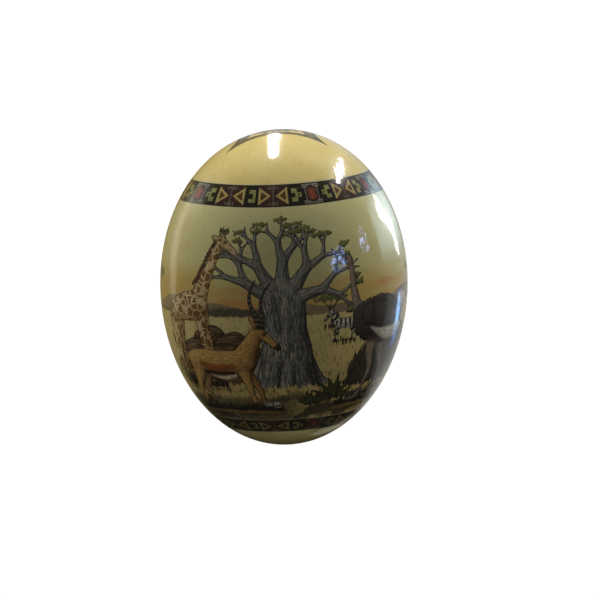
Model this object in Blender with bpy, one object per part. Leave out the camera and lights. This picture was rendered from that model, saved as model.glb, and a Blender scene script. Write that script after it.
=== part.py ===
"""A decorated ostrich egg, lying on its side as a loose egg does.

Blender 4.5, metres, +Z up. The egg's long axis runs along Y, with the blunt end at +Y. The origin is
under the middle of the egg, on the surface that the egg lies on.

The egg is one closed solid of revolution. Its outline is an ellipse that is a little fuller towards
the blunt end and a little rounder at both ends. The blunt end lifts slightly, because the egg rests
on the point that is straight below its centre of mass.
"""

import math

import bmesh
import bpy
from mathutils import Matrix, Vector

# Driving dimensions.
LENGTH = 0.159
WIDTH = 0.124
TAPER = 0.028  # share by which the blunt half is fuller and the pointed half slimmer
FULLNESS = 0.015  # share by which both ends are rounder than an ellipse's
REST_FLAT_DEPTH = 0.0003  # the flat that stands for the spot of contact is cut this deep

# How finely the round form is divided.
RINGS = 42
SEGMENTS = 66
MASS_SLICES = 400
SEARCH_STEPS = 60
MERGE_DISTANCE = 0.00001

VARNISHED_CREAM = (0.62, 0.50, 0.22, 1.0)
VARNISH_ROUGHNESS = 0.12


def radius_at(station):
    """The egg's radius at a station from -1, the pointed tip, to 1, the blunt tip."""
    ellipse = math.sqrt(max(0.0, 1.0 - station**2))
    return WIDTH / 2 * ellipse * (1.0 + TAPER * station + FULLNESS * station**2)


def centre_of_mass():
    """The station of the centre of mass on the axis, from thin slices across the egg."""
    stations = [2 * (i + 0.5) / MASS_SLICES - 1 for i in range(MASS_SLICES)]
    areas = [radius_at(s) ** 2 for s in stations]
    return sum(s * a for s, a in zip(stations, areas)) / sum(areas)


def slope_at(station):
    """How fast the radius grows along the axis, in metres per metre."""
    step = 0.0001
    rise = radius_at(station + step) - radius_at(station - step)
    return rise / (step * LENGTH)


def resting_station():
    """The station whose surface normal runs through the centre of mass: the egg rests there."""
    balance = centre_of_mass()
    low, high = -0.5, 0.5
    for _ in range(SEARCH_STEPS):
        middle = (low + high) / 2
        foot = middle + radius_at(middle) * slope_at(middle) / (LENGTH / 2)
        if foot < balance:
            low = middle
        else:
            high = middle
    return (low + high) / 2


def spin_outline(mesh):
    """Spins the egg's outline, tip to tip, once round the Y axis."""
    angles = [math.pi * (i / RINGS - 0.5) for i in range(RINGS + 1)]
    outline = [
        mesh.verts.new((radius_at(math.sin(a)), LENGTH / 2 * math.sin(a), 0.0)) for a in angles
    ]
    edges = [mesh.edges.new(pair) for pair in zip(outline, outline[1:])]
    bmesh.ops.spin(
        mesh,
        geom=outline + edges,
        axis=(0, 1, 0),
        cent=(0, 0, 0),
        angle=2 * math.pi,
        steps=SEGMENTS,
        use_merge=True,
    )
    bmesh.ops.remove_doubles(mesh, verts=mesh.verts, dist=MERGE_DISTANCE)


def lay_down(mesh):
    """Tips the egg to the angle at which it rests."""
    lean = math.atan(slope_at(resting_station()))
    bmesh.ops.rotate(mesh, verts=mesh.verts, matrix=Matrix.Rotation(lean, 3, "X"))


def cut_rest_flat(mesh):
    """Cuts the small flat that the egg rests on."""
    lowest = min(v.co.z for v in mesh.verts)
    cut = bmesh.ops.bisect_plane(
        mesh,
        geom=mesh.verts[:] + mesh.edges[:] + mesh.faces[:],
        plane_co=(0, 0, lowest + REST_FLAT_DEPTH),
        plane_no=(0, 0, -1),
        clear_outer=True,
    )
    rim = [item for item in cut["geom_cut"] if isinstance(item, bmesh.types.BMEdge)]
    bmesh.ops.holes_fill(mesh, edges=rim, sides=0)


def set_on_origin(mesh):
    """Moves the egg so that the origin is at the bottom, under the middle of its box."""
    points = [v.co for v in mesh.verts]
    low = Vector(min(p[i] for p in points) for i in range(3))
    high = Vector(max(p[i] for p in points) for i in range(3))
    middle = (low + high) / 2
    bmesh.ops.translate(mesh, verts=mesh.verts, vec=(-middle.x, -middle.y, -low.z))


def varnished_shell():
    """The egg's glossy cream finish."""
    material = bpy.data.materials.new("varnished_shell")
    material.use_nodes = True
    shader = material.node_tree.nodes["Principled BSDF"]
    shader.inputs["Base Color"].default_value = VARNISHED_CREAM
    shader.inputs["Roughness"].default_value = VARNISH_ROUGHNESS
    shader.inputs["Metallic"].default_value = 0.0
    return material


def make_egg():
    """Builds the egg as one object named egg."""
    mesh = bmesh.new()
    spin_outline(mesh)
    lay_down(mesh)
    cut_rest_flat(mesh)
    set_on_origin(mesh)
    bmesh.ops.recalc_face_normals(mesh, faces=mesh.faces)
    data = bpy.data.meshes.new("egg")
    mesh.to_mesh(data)
    mesh.free()
    data.shade_smooth()
    data.materials.append(varnished_shell())
    egg = bpy.data.objects.new("egg", data)
    bpy.context.scene.collection.objects.link(egg)
    return egg


for old in list(bpy.data.objects):
    bpy.data.objects.remove(old)

make_egg()
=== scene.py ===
"""The looks of a decorated ostrich egg, in Blender 4.5, in metres with +Z up.

The egg lies on its side with its painted front up and its blunt end at +Y. It is one piece: a fine mesh
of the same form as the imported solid, with printed paper under a clear gloss varnish. The print is drawn
in two ways. The bands, the crown's medallion, the sky and the grassland are formulas in the shader. The
animals and trees are drawn in code from limbs, which have a spine and a half width. Each point of the
mesh carries how far it is inside the nearest limb, that limb's colour and its grain, and the shader cuts
the outlines sharply from that.
"""

import logging
import math
import random
from dataclasses import dataclass, field, fields, replace
from enum import Enum
from typing import Sequence, Union

import bmesh
import bpy
import numpy as np
from mathutils import Matrix, Quaternion, Vector


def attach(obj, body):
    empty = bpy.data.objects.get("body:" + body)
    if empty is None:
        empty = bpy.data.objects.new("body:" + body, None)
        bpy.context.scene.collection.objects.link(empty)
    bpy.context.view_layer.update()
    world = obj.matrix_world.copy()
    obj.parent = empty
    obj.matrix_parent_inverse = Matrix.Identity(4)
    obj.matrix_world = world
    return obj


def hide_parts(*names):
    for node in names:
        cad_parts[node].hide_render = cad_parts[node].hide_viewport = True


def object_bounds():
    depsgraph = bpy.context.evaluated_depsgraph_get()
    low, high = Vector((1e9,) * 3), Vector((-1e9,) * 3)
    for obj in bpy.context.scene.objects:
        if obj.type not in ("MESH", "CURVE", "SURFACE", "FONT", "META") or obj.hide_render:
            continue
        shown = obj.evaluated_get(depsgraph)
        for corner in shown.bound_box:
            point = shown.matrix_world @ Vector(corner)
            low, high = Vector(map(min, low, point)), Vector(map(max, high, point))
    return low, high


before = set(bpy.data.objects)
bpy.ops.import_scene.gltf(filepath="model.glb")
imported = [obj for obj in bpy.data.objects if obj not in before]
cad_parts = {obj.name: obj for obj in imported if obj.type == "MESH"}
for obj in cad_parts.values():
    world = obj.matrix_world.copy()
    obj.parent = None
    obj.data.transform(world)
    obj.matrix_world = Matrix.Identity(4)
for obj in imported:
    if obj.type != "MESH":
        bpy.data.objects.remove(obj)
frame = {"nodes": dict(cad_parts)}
CAD_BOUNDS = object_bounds()

LOG = logging.getLogger("ostrich_egg")
MM = 0.001

Rgb = tuple[float, float, float]
Point = tuple[float, float, float]
Spot = tuple[float, float]
Source = Union["Wire", bpy.types.NodeSocket, float, Sequence[float]]

BLACK: Rgb = (0.0, 0.0, 0.0)
WHITE: Rgb = (1.0, 1.0, 1.0)
TINY = 1e-9


def ink_of(web_colour: str) -> Rgb:
    """A colour as a linear triple.

    Args:
        web_colour: six hexadecimal digits, red, green and blue.

    Returns:
        The three linear channels, from 0 to 1.
    """
    shares = [int(web_colour[i : i + 2], 16) / 255 for i in (0, 2, 4)]
    return tuple(s / 12.92 if s <= 0.04045 else ((s + 0.055) / 1.055) ** 2.4 for s in shares)


def soft_step(low: float, high: float, value: np.ndarray) -> np.ndarray:
    """Rises smoothly from 0 at low to 1 at high.

    Args:
        low: the value at which the rise starts.
        high: the value at which it ends.
        value: the values to read.

    Returns:
        The shares, one for each value.
    """
    share = np.clip((value - low) / (high - low), 0, 1)
    return share * share * (3 - 2 * share)


def add_object(name: str, data: bpy.types.ID) -> bpy.types.Object:
    """Adds an object to the scene.

    Args:
        name: its name.
        data: its mesh, light or camera.

    Returns:
        The object.
    """
    made = bpy.data.objects.new(name, data)
    bpy.context.scene.collection.objects.link(made)
    return made


# --- The egg's form ---


@dataclass(frozen=True)
class EggForm:
    """The egg's outline: an ellipse that is fuller towards the blunt end and rounder at both ends."""

    length: float = 0.159
    width: float = 0.124
    taper: float = 0.028
    fullness: float = 0.015
    flat_depth: float = 0.0003

    NEAR_TIP = 0.9999
    NEAR_MIDDLE = 0.5
    BALANCE_STEPS = 4001
    ARC_STEPS = 3001

    def radius_at(self, station: np.ndarray) -> np.ndarray:
        """The radius at stations from -1, the pointed tip, to 1, the blunt tip."""
        ellipse = np.sqrt(np.maximum(0.0, 1.0 - station**2))
        return self.width / 2 * ellipse * (1.0 + self.taper * station + self.fullness * station**2)

    def lean(self) -> float:
        """The angle at which the blunt end lifts when the egg lies at rest.

        Returns:
            The angle in radians, where the surface normal runs through the centre of mass.
        """
        stations = np.linspace(-self.NEAR_TIP, self.NEAR_TIP, self.BALANCE_STEPS)
        radii = self.radius_at(stations)
        balance = float((stations * radii**2).sum() / (radii**2).sum())
        slopes = np.gradient(radii, stations) / (self.length / 2)
        feet = stations + radii * slopes / (self.length / 2)
        middle = np.abs(stations) < self.NEAR_MIDDLE
        return math.atan(float(np.interp(balance, feet[middle], slopes[middle])))

    def arc_table(self) -> tuple[np.ndarray, np.ndarray]:
        """How the length along the surface grows from the belly to the tips.

        Returns:
            Stations from tip to tip, and the arc in metres from the belly to each, negative below it.
        """
        stations = np.sin(np.linspace(-math.pi / 2, math.pi / 2, self.ARC_STEPS))
        steps = np.hypot(np.diff(self.radius_at(stations)), np.diff(stations) * self.length / 2)
        arcs = np.concatenate([[0.0], np.cumsum(steps)])
        return stations, arcs - np.interp(0.0, stations, arcs)


@dataclass(frozen=True)
class Wrap:
    """How the paper is put round the egg: turned a little, so the bands rise to the right."""

    roll: float = math.radians(2.8)

    def turn(self) -> Matrix:
        """The rotation from the paper's own axes to the egg's."""
        return Matrix.Rotation(self.roll, 3, "Z")


# --- Drawing with limbs ---


class Grain(Enum):
    """The texture of a limb's surface. The shader reads the number."""

    HAIR = 0.0
    STRIPES = 1.0
    PATCHES = 2.0
    BARK = 3.0
    GRASS = 4.0


@dataclass(frozen=True)
class Paint:
    """What a limb is filled with: its colour in the light, its colour in its own shade, and its grain."""

    light: Rgb
    shade: Rgb
    grain: Grain = Grain.HAIR

    @staticmethod
    def of(light: str, shade: str, grain: Grain = Grain.HAIR) -> "Paint":
        """A paint from two web colours."""
        return Paint(ink_of(light), ink_of(shade), grain)

    def hairy(self) -> "Paint":
        """The same colours, with hair as their grain."""
        return replace(self, grain=Grain.HAIR)

    def limb(self, *spine: Point, **more: float) -> "Limb":
        """A limb of this paint along a spine."""
        return Limb(spine, self, **more)


@dataclass(frozen=True)
class Limb:
    """A drawn form along a curved spine, in millimetres of its motif.

    The spine holds points of x, y and half width. Over the first merge millimetres the limb grows out of
    what is under it, with no outline of its own. A ragged edge is frayed by the shader. Deep makes a limb
    darker, as on the far side of an animal, and flat takes its roundness away.
    """

    spine: Sequence[Point]
    paint: Paint
    merge: float = 0.0
    ragged: float = 0.0
    ink: float = 1.0
    flat: float = 0.0
    deep: float = 0.0

    SPAN_STEPS = 5
    THINNEST = 0.15
    DOT = (0.0001, 0.0, 0.0)

    def path(self) -> np.ndarray:
        """A smooth path through the spine's points.

        Returns:
            Rows of x, y and half width.
        """
        points = np.array(self.spine, float)
        if len(points) == 1:
            return np.vstack([points, points + self.DOT])
        ends = np.vstack([2 * points[0] - points[1], points, 2 * points[-1] - points[-2]])
        rows = []
        for before, start, end, after in zip(ends, ends[1:], ends[2:], ends[3:]):
            for step in range(self.SPAN_STEPS):
                t = step / self.SPAN_STEPS
                bend = (2 * before - 5 * start + 4 * end - after) * t**2
                twist = (3 * start - before - 3 * end + after) * t**3
                rows.append(start + 0.5 * ((end - before) * t + bend + twist))
        rows.append(points[-1])
        path = np.array(rows)
        path[:, 2] = np.maximum(path[:, 2], self.THINNEST)
        return path


@dataclass
class Reading:
    """What a limb measures at the points of the mesh."""

    edge: np.ndarray
    along: np.ndarray
    side: np.ndarray
    lean_x: np.ndarray
    lean_y: np.ndarray

    @staticmethod
    def of(limb: Limb, x: np.ndarray, y: np.ndarray) -> "Reading":
        """Measures a limb.

        Args:
            limb: the limb to measure.
            x: the points' places in the motif, to the right.
            y: the points' places in the motif, upwards.

        Returns:
            The distance inside the limb's edge, the run along its spine, the offset to one side of it,
            and the way in which the limb's round surface leans.
        """
        path = limb.path()
        found = Reading(*(np.zeros_like(x) for _ in fields(Reading)))
        found.edge[:] = -np.inf
        run, last = 0.0, len(path) - 2
        for index, ((ax, ay, ar), (bx, by, br)) in enumerate(zip(path, path[1:])):
            dx, dy = bx - ax, by - ay
            length = math.hypot(dx, dy) + TINY
            free = ((x - ax) * dx + (y - ay) * dy) / length**2
            t = np.clip(free, 0, 1)
            reach = np.clip(free, -np.inf if index == 0 else 0, np.inf if index == last else 1)
            off_x, off_y = x - ax - t * dx, y - ay - t * dy
            radius = ar + (br - ar) * t
            edge = radius - np.hypot(off_x, off_y)
            nearer = edge > found.edge
            for name, value in (
                ("edge", edge),
                ("along", run + reach * length),
                ("side", (off_y * dx - off_x * dy) / length),
                ("lean_x", off_x / radius),
                ("lean_y", off_y / radius),
            ):
                setattr(found, name, np.where(nearer, value, getattr(found, name)))
            run += length
        return found


@dataclass
class Sheet:
    """One layer of drawn motifs, held as values at the points of the egg's mesh.

    Lengths are in millimetres. Light wraps round a form by a share, and a flat form has a light of its
    own. An inner line parts a limb from the limbs under it, unless it is too frayed for one, and a motif
    darkens the rim of what is behind it. A blade of a motif's grassy foot has a height, the waves in a
    millimetre and a shift.
    """

    azimuth: np.ndarray
    arc: np.ndarray
    reach: np.ndarray
    layers: dict[str, np.ndarray] = field(default_factory=dict)

    OUTSIDE = -20.0
    MARGIN = 4.0
    LIGHT_FROM = (-0.42, 0.62, 0.66)
    WRAPPED_LIGHT = 0.3
    FLAT_LIGHT = 0.6
    SOFT_EDGE = 0.4
    JOIN = 0.7
    INNER_LINE = 0.55
    INNER_FROM = 0.8
    INNER_SHADE = 0.72
    FRAYED = 0.6
    RIM_FROM = 0.5
    RIM_SHADE = 0.6
    BLADES = ((0.8, 1.9, 0.0), (0.6, 3.1, 1.0), (0.4, 0.7, 0.0))
    BLADE_FOOT = 0.5
    FRINGE = (0.4, 2.0)
    FRINGE_RAGGED = 0.8

    def __post_init__(self) -> None:
        """Starts as an empty sheet."""
        count = self.azimuth.size
        for name in ("ragged", "ink", "along", "side", "kind"):
            self.layers[name] = np.zeros(count)
        self.layers["edge"] = np.full(count, self.OUTSIDE)
        self.layers["colour"] = np.zeros((count, 3))

    def shade(self, limb: Limb, read: Reading, flip: bool) -> np.ndarray:
        """The limb's colours, lit from the upper left as a round form.

        Args:
            limb: the limb.
            read: what it measures.
            flip: whether the motif is mirrored.

        Returns:
            Rows of linear colours.
        """
        tilt = np.hypot(read.lean_x, read.lean_y) + TINY
        short = np.minimum(1.0, tilt) / tilt
        across = read.lean_x * short * (-1 if flip else 1)
        upward = read.lean_y * short
        outward = np.sqrt(np.maximum(0.0, 1 - across**2 - upward**2))
        lx, ly, lz = self.LIGHT_FROM
        past = self.WRAPPED_LIGHT
        lit = (np.clip(across * lx + upward * ly + outward * lz, -past, 1) + past) / (1 + past)
        lit = (lit * (1 - limb.flat) + self.FLAT_LIGHT * limb.flat) * (1 - limb.deep)
        light, dark = np.array(limb.paint.light), np.array(limb.paint.shade)
        return dark + (light - dark) * lit[:, None]

    def draw(
        self,
        limbs: Sequence[Limb],
        azimuth: float,
        arc: float,
        scale: float = 1.0,
        flip: bool = False,
        rooted: bool = False,
    ) -> None:
        """Draws a motif on the sheet, over what is there.

        Args:
            limbs: the motif's limbs, from the farthest to the nearest.
            azimuth: where the motif's origin is, in degrees to the right of the front's middle.
            arc: how far it is above the belly along the surface, in millimetres.
            scale: the motif's size.
            flip: whether it is mirrored.
            rooted: whether grass hides what is below its origin.
        """
        turn = (self.azimuth - math.radians(azimuth) + math.pi) % (2 * math.pi) - math.pi
        x = turn * self.reach / scale * (-1 if flip else 1)
        y = (self.arc - arc) / scale
        points = np.concatenate([np.array(limb.spine, float) for limb in limbs])
        pad = points[:, 2].max() + self.MARGIN
        low, high = points[:, :2].min(0) - pad, points[:, :2].max(0) + pad
        near = np.nonzero((x > low[0]) & (x < high[0]) & (y > low[1]) & (y < high[1]))[0]
        if near.size == 0:
            return
        x, y = x[near], y[near]
        old = {name: values[near] for name, values in self.layers.items()}
        new = {name: values.copy() for name, values in old.items()}
        new["edge"][:] = self.OUTSIDE
        for limb in limbs:
            self.lay(limb, Reading.of(limb, x, y), new, scale, flip)
        if rooted:
            self.root(new, x * scale, y * scale)
        wins = (new["edge"] > 0) | (new["edge"] > old["edge"])
        behind = old["edge"] > self.RIM_FROM
        rim = np.exp(-((np.minimum(new["edge"], 0) / self.INNER_LINE) ** 2)) * behind
        old["colour"] = old["colour"] * (1 - self.RIM_SHADE * rim[:, None])
        for name, values in new.items():
            if name == "edge":
                kept = np.maximum(values, old[name])
            else:
                kept = np.where(wins[:, None] if name == "colour" else wins, values, old[name])
            self.layers[name][near] = kept

    def lay(
        self, limb: Limb, read: Reading, drawn: dict[str, np.ndarray], scale: float, flip: bool
    ) -> None:
        """Lays one limb over the motif's earlier limbs.

        Args:
            limb: the limb.
            read: what it measures, in the motif's own millimetres.
            drawn: the motif's layers so far, which are changed.
            scale: the motif's size.
            flip: whether it is mirrored.
        """
        edge, under = read.edge * scale, drawn["edge"]
        over = soft_step(-self.SOFT_EDGE, self.SOFT_EDGE, edge)
        beyond = soft_step(-self.SOFT_EDGE, self.SOFT_EDGE, edge - under) * (under < 0)
        rooted = soft_step(0.0, limb.merge, read.along) if limb.merge > 0 else np.ones_like(edge)
        cover = np.maximum(over, beyond) * np.where(under > 0, rooted, 1.0)
        line = np.exp(-((edge / self.INNER_LINE) ** 2)) * rooted * limb.ink * (under > self.INNER_FROM)
        line = line * (limb.ragged < self.FRAYED)
        colour = self.shade(limb, read, flip)
        mixed = drawn["colour"] * (1 - cover[:, None]) + colour * cover[:, None]
        drawn["colour"] = mixed * (1 - self.INNER_SHADE * line[:, None])
        for name, value in (("ragged", limb.ragged), ("ink", limb.ink)):
            drawn[name] = drawn[name] * (1 - cover) + value * cover
        hard = cover > 0.5
        for name, value in (
            ("along", read.along * scale),
            ("side", read.side * scale),
            ("kind", limb.paint.grain.value),
        ):
            drawn[name] = np.where(hard, value, drawn[name])
        share = np.clip(0.5 + 0.5 * (edge - under) / self.JOIN, 0, 1)
        drawn["edge"] = under * (1 - share) + edge * share + self.JOIN * share * (1 - share)

    def root(self, drawn: dict[str, np.ndarray], x: np.ndarray, y: np.ndarray) -> None:
        """Hides a motif's foot behind blades of grass.

        Args:
            drawn: the motif's layers, which are changed.
            x: the points' places to the right of the motif's origin, in millimetres.
            y: their places above it.
        """
        waves = sum(high * np.sin(x * rate + shift) for high, rate, shift in self.BLADES)
        above = y - self.BLADE_FOOT - waves
        fringe = 1 - soft_step(*self.FRINGE, above)
        drawn["edge"] = np.minimum(drawn["edge"], above)
        drawn["ragged"] = drawn["ragged"] * (1 - fringe) + self.FRINGE_RAGGED * fringe
        drawn["ink"] = drawn["ink"] * (1 - fringe)
        drawn["kind"] = np.where(fringe > 0.5, Grain.GRASS.value, drawn["kind"])

    def store(self, mesh: bpy.types.Mesh, name: str) -> None:
        """Stores the sheet on the mesh as three attributes, which the shader reads.

        Args:
            mesh: the egg's mesh.
            name: the sheet's name.
        """
        get = self.layers
        for suffix, columns in (
            ("paint", get["colour"]),
            ("form", np.column_stack([get["edge"], get["ragged"], get["ink"]])),
            ("grain", np.column_stack([get["along"], get["side"], get["kind"]])),
        ):
            attribute = mesh.attributes.new(f"{name}_{suffix}", "FLOAT_VECTOR", "POINT")
            attribute.data.foreach_set("vector", columns.astype(np.float32).ravel())


# --- The motifs ---


HORN = Paint.of("4a4238", "1c1812")
EYE = Paint.of("1a1512", "0c0a08")
FAR_SIDE = 0.45  # how much darker the legs on an animal's far side are


def giraffe() -> list[Limb]:
    """A giraffe, 88 mm high, facing right, its origin between its hooves.

    Returns:
        Its limbs, from the farthest to the nearest.
    """
    hide = Paint.of("f2dca4", "b48c4e", Grain.PATCHES)
    face = Paint.of("e6c88c", "8d6436")
    pale = Paint.of("f2dfb4", "b2915c")
    mane = Paint.of("8a5226", "3c200e")

    def leg(hoof: float, *spine: Point, **more: float) -> list[Limb]:
        """A leg, and under its last point a hoof of the half width told."""
        x = spine[-1][0]
        return [hide.limb(*spine, **more), HORN.limb((x, 3.2, hoof * 0.8), (x + 0.7, 1.4, hoof))]

    return [
        face.limb((-16.6, 43, 0.9), (-18.8, 37, 0.65), (-19, 29, 0.6)),
        HORN.limb((-19, 29, 0.6), (-18.9, 25.5, 1.3), (-18.2, 20, 0.5), ragged=0.6),
        *leg(
            1.8, (12, 42, 3.6), (13.6, 30, 2.4), (14.2, 19, 1.9),
            (14.2, 11, 1.25), (14.6, 4.6, 1.35), deep=FAR_SIDE,
        ),
        *leg(
            1.8, (-8, 38, 4.4), (-8, 29, 2.8), (-9.4, 20, 1.85),
            (-8.8, 11, 1.25), (-8.4, 4.6, 1.35), deep=FAR_SIDE,
        ),
        hide.limb((-11.2, 42.6, 6.2), (-5, 44.6, 7.3), (2, 45.6, 8.3), (8.2, 47, 7.6)),
        hide.limb(
            (7.6, 46.5, 7.4), (10.6, 53, 5.6), (14, 60.5, 4.1),
            (17.2, 68.5, 3.2), (19.8, 75.5, 2.7), (21.4, 80.6, 2.6), merge=9,
        ),
        mane.limb(
            (5.4, 58, 0.9), (9.4, 63.6, 1.2), (13.1, 71, 1.1),
            (16.4, 78.2, 1), (18.8, 83.2, 0.9), ragged=0.5,
        ),
        face.limb((22.9, 83.2, 0.8), (22.9, 86.6, 0.7)),
        HORN.limb((22.9, 87.3, 1)),
        face.limb((21.2, 81.8, 2.7), (24.4, 80.6, 2.6), (27.4, 78.6, 2), (30, 76.6, 1.7), merge=2),
        pale.limb((29.6, 76.9, 1.75), (31.6, 75.6, 1.6), merge=1.5),
        face.limb((20.8, 83.4, 0.8), (20.3, 86.8, 0.75)),
        HORN.limb((20.2, 87.7, 1.05)),
        face.limb((19.6, 83, 0.8), (17.2, 83.9, 1.35), (15, 84.5, 0.35)),
        EYE.limb((24.6, 81.4, 0.72), flat=1),
        EYE.limb((32.2, 75.9, 0.42), flat=1, ink=0),
        *leg(
            1.95, (-11, 41, 5.9), (-12.6, 33.5, 4.4), (-12.2, 26.6, 2.6), (-13.9, 19.2, 2),
            (-13.4, 11, 1.35), (-13, 4.6, 1.5), merge=7,
        ),
        *leg(
            1.95, (8.6, 44, 5.4), (9.6, 34, 3.2), (9.8, 26, 2.3), (10.2, 18.5, 2.2),
            (10.1, 12, 1.4), (10.3, 4.6, 1.5), merge=8,
        ),
    ]


@dataclass(frozen=True)
class Hoofed:
    """A standing hoofed animal, 34 mm high at the shoulder, facing right, its origin between its hooves.

    Slim scales the widths of its body and thighs, and head scales its head about the nape.
    """

    hide: Paint
    belly: Paint
    mane: bool = False
    horns: Sequence[Limb] = ()
    marks: Sequence[Limb] = ()
    slim: float = 1.0
    head: float = 1.0

    NAPE = (21.9, 42.4)
    SHANK = 1.5

    def leg(self, *spine: Point, **more: float) -> list[Limb]:
        """A leg and its hoof.

        Args:
            spine: the leg's spine, whose last point is where the hoof starts.
            more: what else the leg's limb is given.

        Returns:
            Both limbs.
        """
        slimmed = [(x, y, r * (self.slim if r > self.SHANK else 1.0)) for x, y, r in spine]
        x, y, r = spine[-1]
        hoof = HORN.limb((x, y - 1.0, r), (x + 0.7, y - 2.4, r * 1.25))
        return [self.hide.limb(*slimmed, **more), hoof]

    def face(self, *spine: Point) -> list[Point]:
        """A spine of the head, as large as the animal's head is."""
        (left, low), size = self.NAPE, self.head
        return [(left + (x - left) * size, low + (y - low) * size, r * size) for x, y, r in spine]

    def trunk(self, *spine: Point, **more: float) -> Limb:
        """A limb of the body, as slim as the animal is."""
        return self.hide.limb(*((x, y, r * self.slim) for x, y, r in spine), **more)

    def limbs(self) -> list[Limb]:
        """Draws the animal.

        Returns:
            Its limbs, from the farthest to the nearest.
        """
        hide, ear = self.hide, self.hide.hairy()
        made = [
            hide.limb((-20.8, 29.8, 1.2), (-23.2, 25.5, 0.85), (-23.8, 19.5, 0.7)),
            HORN.limb((-23.8, 18.5, 0.8), (-23.7, 14.5, 1.3), (-23, 9.5, 0.4), ragged=0.6),
            *self.leg(
                (13, 22, 3.2), (15.2, 16, 2.2), (16.6, 11.8, 1.8),
                (16.2, 7, 1.15), (16.3, 3.6, 1.3), deep=FAR_SIDE,
            ),
            *self.leg(
                (-11.5, 22, 4.6), (-11.4, 16.2, 2.9), (-13, 12, 1.75),
                (-12, 7, 1.2), (-11.4, 3.6, 1.3), deep=FAR_SIDE,
            ),
            ear.limb((23, 44.6, 0.9), (24, 48.4, 1.25), (24.6, 50.6, 0.3), deep=0.3),
            self.trunk(
                (-15.2, 26.4, 6.9), (-8, 26.9, 7), (0, 25.8, 7.7), (8.5, 26.4, 7.3), (12.6, 27.4, 6.4)
            ),
            self.belly.limb((-7, 20.4, 1.2), (0, 18.9, 1.5), (6, 19.8, 1.2), flat=0.5, ink=0),
            *self.marks,
            self.trunk((11.6, 27.6, 6.6), (15.6, 33.2, 5.2), (19.2, 38.6, 4.1), (21.6, 42, 3.5), merge=6),
        ]
        if self.mane:
            crest = ((8.6, 35.4, 1), (12.6, 40.4, 1.7), (16.6, 44.8, 1.8), (20, 47.4, 1.4))
            made.append(hide.limb(*crest, ragged=0.35))
        head = self.face((21.9, 42.4, 3.5), (25.4, 39.8, 3.1), (28.8, 36.2, 2.4), (30.4, 34.4, 2.2))
        return made + [
            self.trunk(*head, merge=3),
            HORN.limb(*self.face((30.2, 34.6, 2.15), (31.9, 32.8, 1.95)), merge=1.2),
            ear.limb((20.9, 44.8, 0.9), (19.6, 48.2, 1.45), (18.9, 50.6, 0.35)),
            EYE.limb(*self.face((25.6, 41, 0.8)), flat=1),
            *self.horns,
            *self.leg(
                (-14.8, 25.4, 6.6), (-16.2, 18.6, 4.4), (-18.2, 12.6, 2.1),
                (-17.6, 7.2, 1.3), (-17.2, 3.6, 1.5), merge=5,
            ),
            *self.leg(
                (11.2, 25.5, 5), (11.5, 18, 2.9), (11.8, 12.2, 2),
                (11.8, 7.5, 1.3), (12, 3.6, 1.5), merge=5,
            ),
        ]


def zebra() -> list[Limb]:
    """A zebra's limbs."""
    coat = Paint.of("f4ecd2", "a79a80", Grain.STRIPES)
    return Hoofed(coat, coat, mane=True).limbs()


def antelope() -> list[Limb]:
    """A tawny antelope with lyre-shaped horns.

    Returns:
        Its limbs, from the farthest to the nearest.
    """
    horn = Paint.of("8a795e", "2a221a", Grain.STRIPES)
    rust = Paint.of("b8702c", "6a3d18")
    dusk = Paint.of("4c2c14", "24160c")
    horns = (
        horn.limb(
            (22.6, 45, 1.35), (21.6, 50.5, 1.2), (19.4, 56, 1), (19.6, 61.5, 0.75), (22.4, 67.5, 0.3)
        ),
        horn.limb(
            (24.4, 44.6, 1.2), (25.2, 50, 1.05), (24.6, 55.6, 0.9),
            (26.2, 61, 0.7), (29.8, 66, 0.3), deep=0.3,
        ),
    )
    marks = (
        rust.limb((-13, 25.6, 1.2), (-4, 23.8, 1.7), (6, 24.6, 1.4), flat=0.3, ink=0, ragged=0.8),
        dusk.limb((-11, 21.4, 0.9), (-3, 20.6, 1.3), (5.5, 21.2, 1), flat=0.7, ink=0, ragged=0.7),
    )
    tawny, pale = Paint.of("eab866", "5c3516"), Paint.of("f6e6c0", "b99a66")
    return Hoofed(tawny, pale, horns=horns, marks=marks, slim=0.93, head=0.84).limbs()


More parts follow.
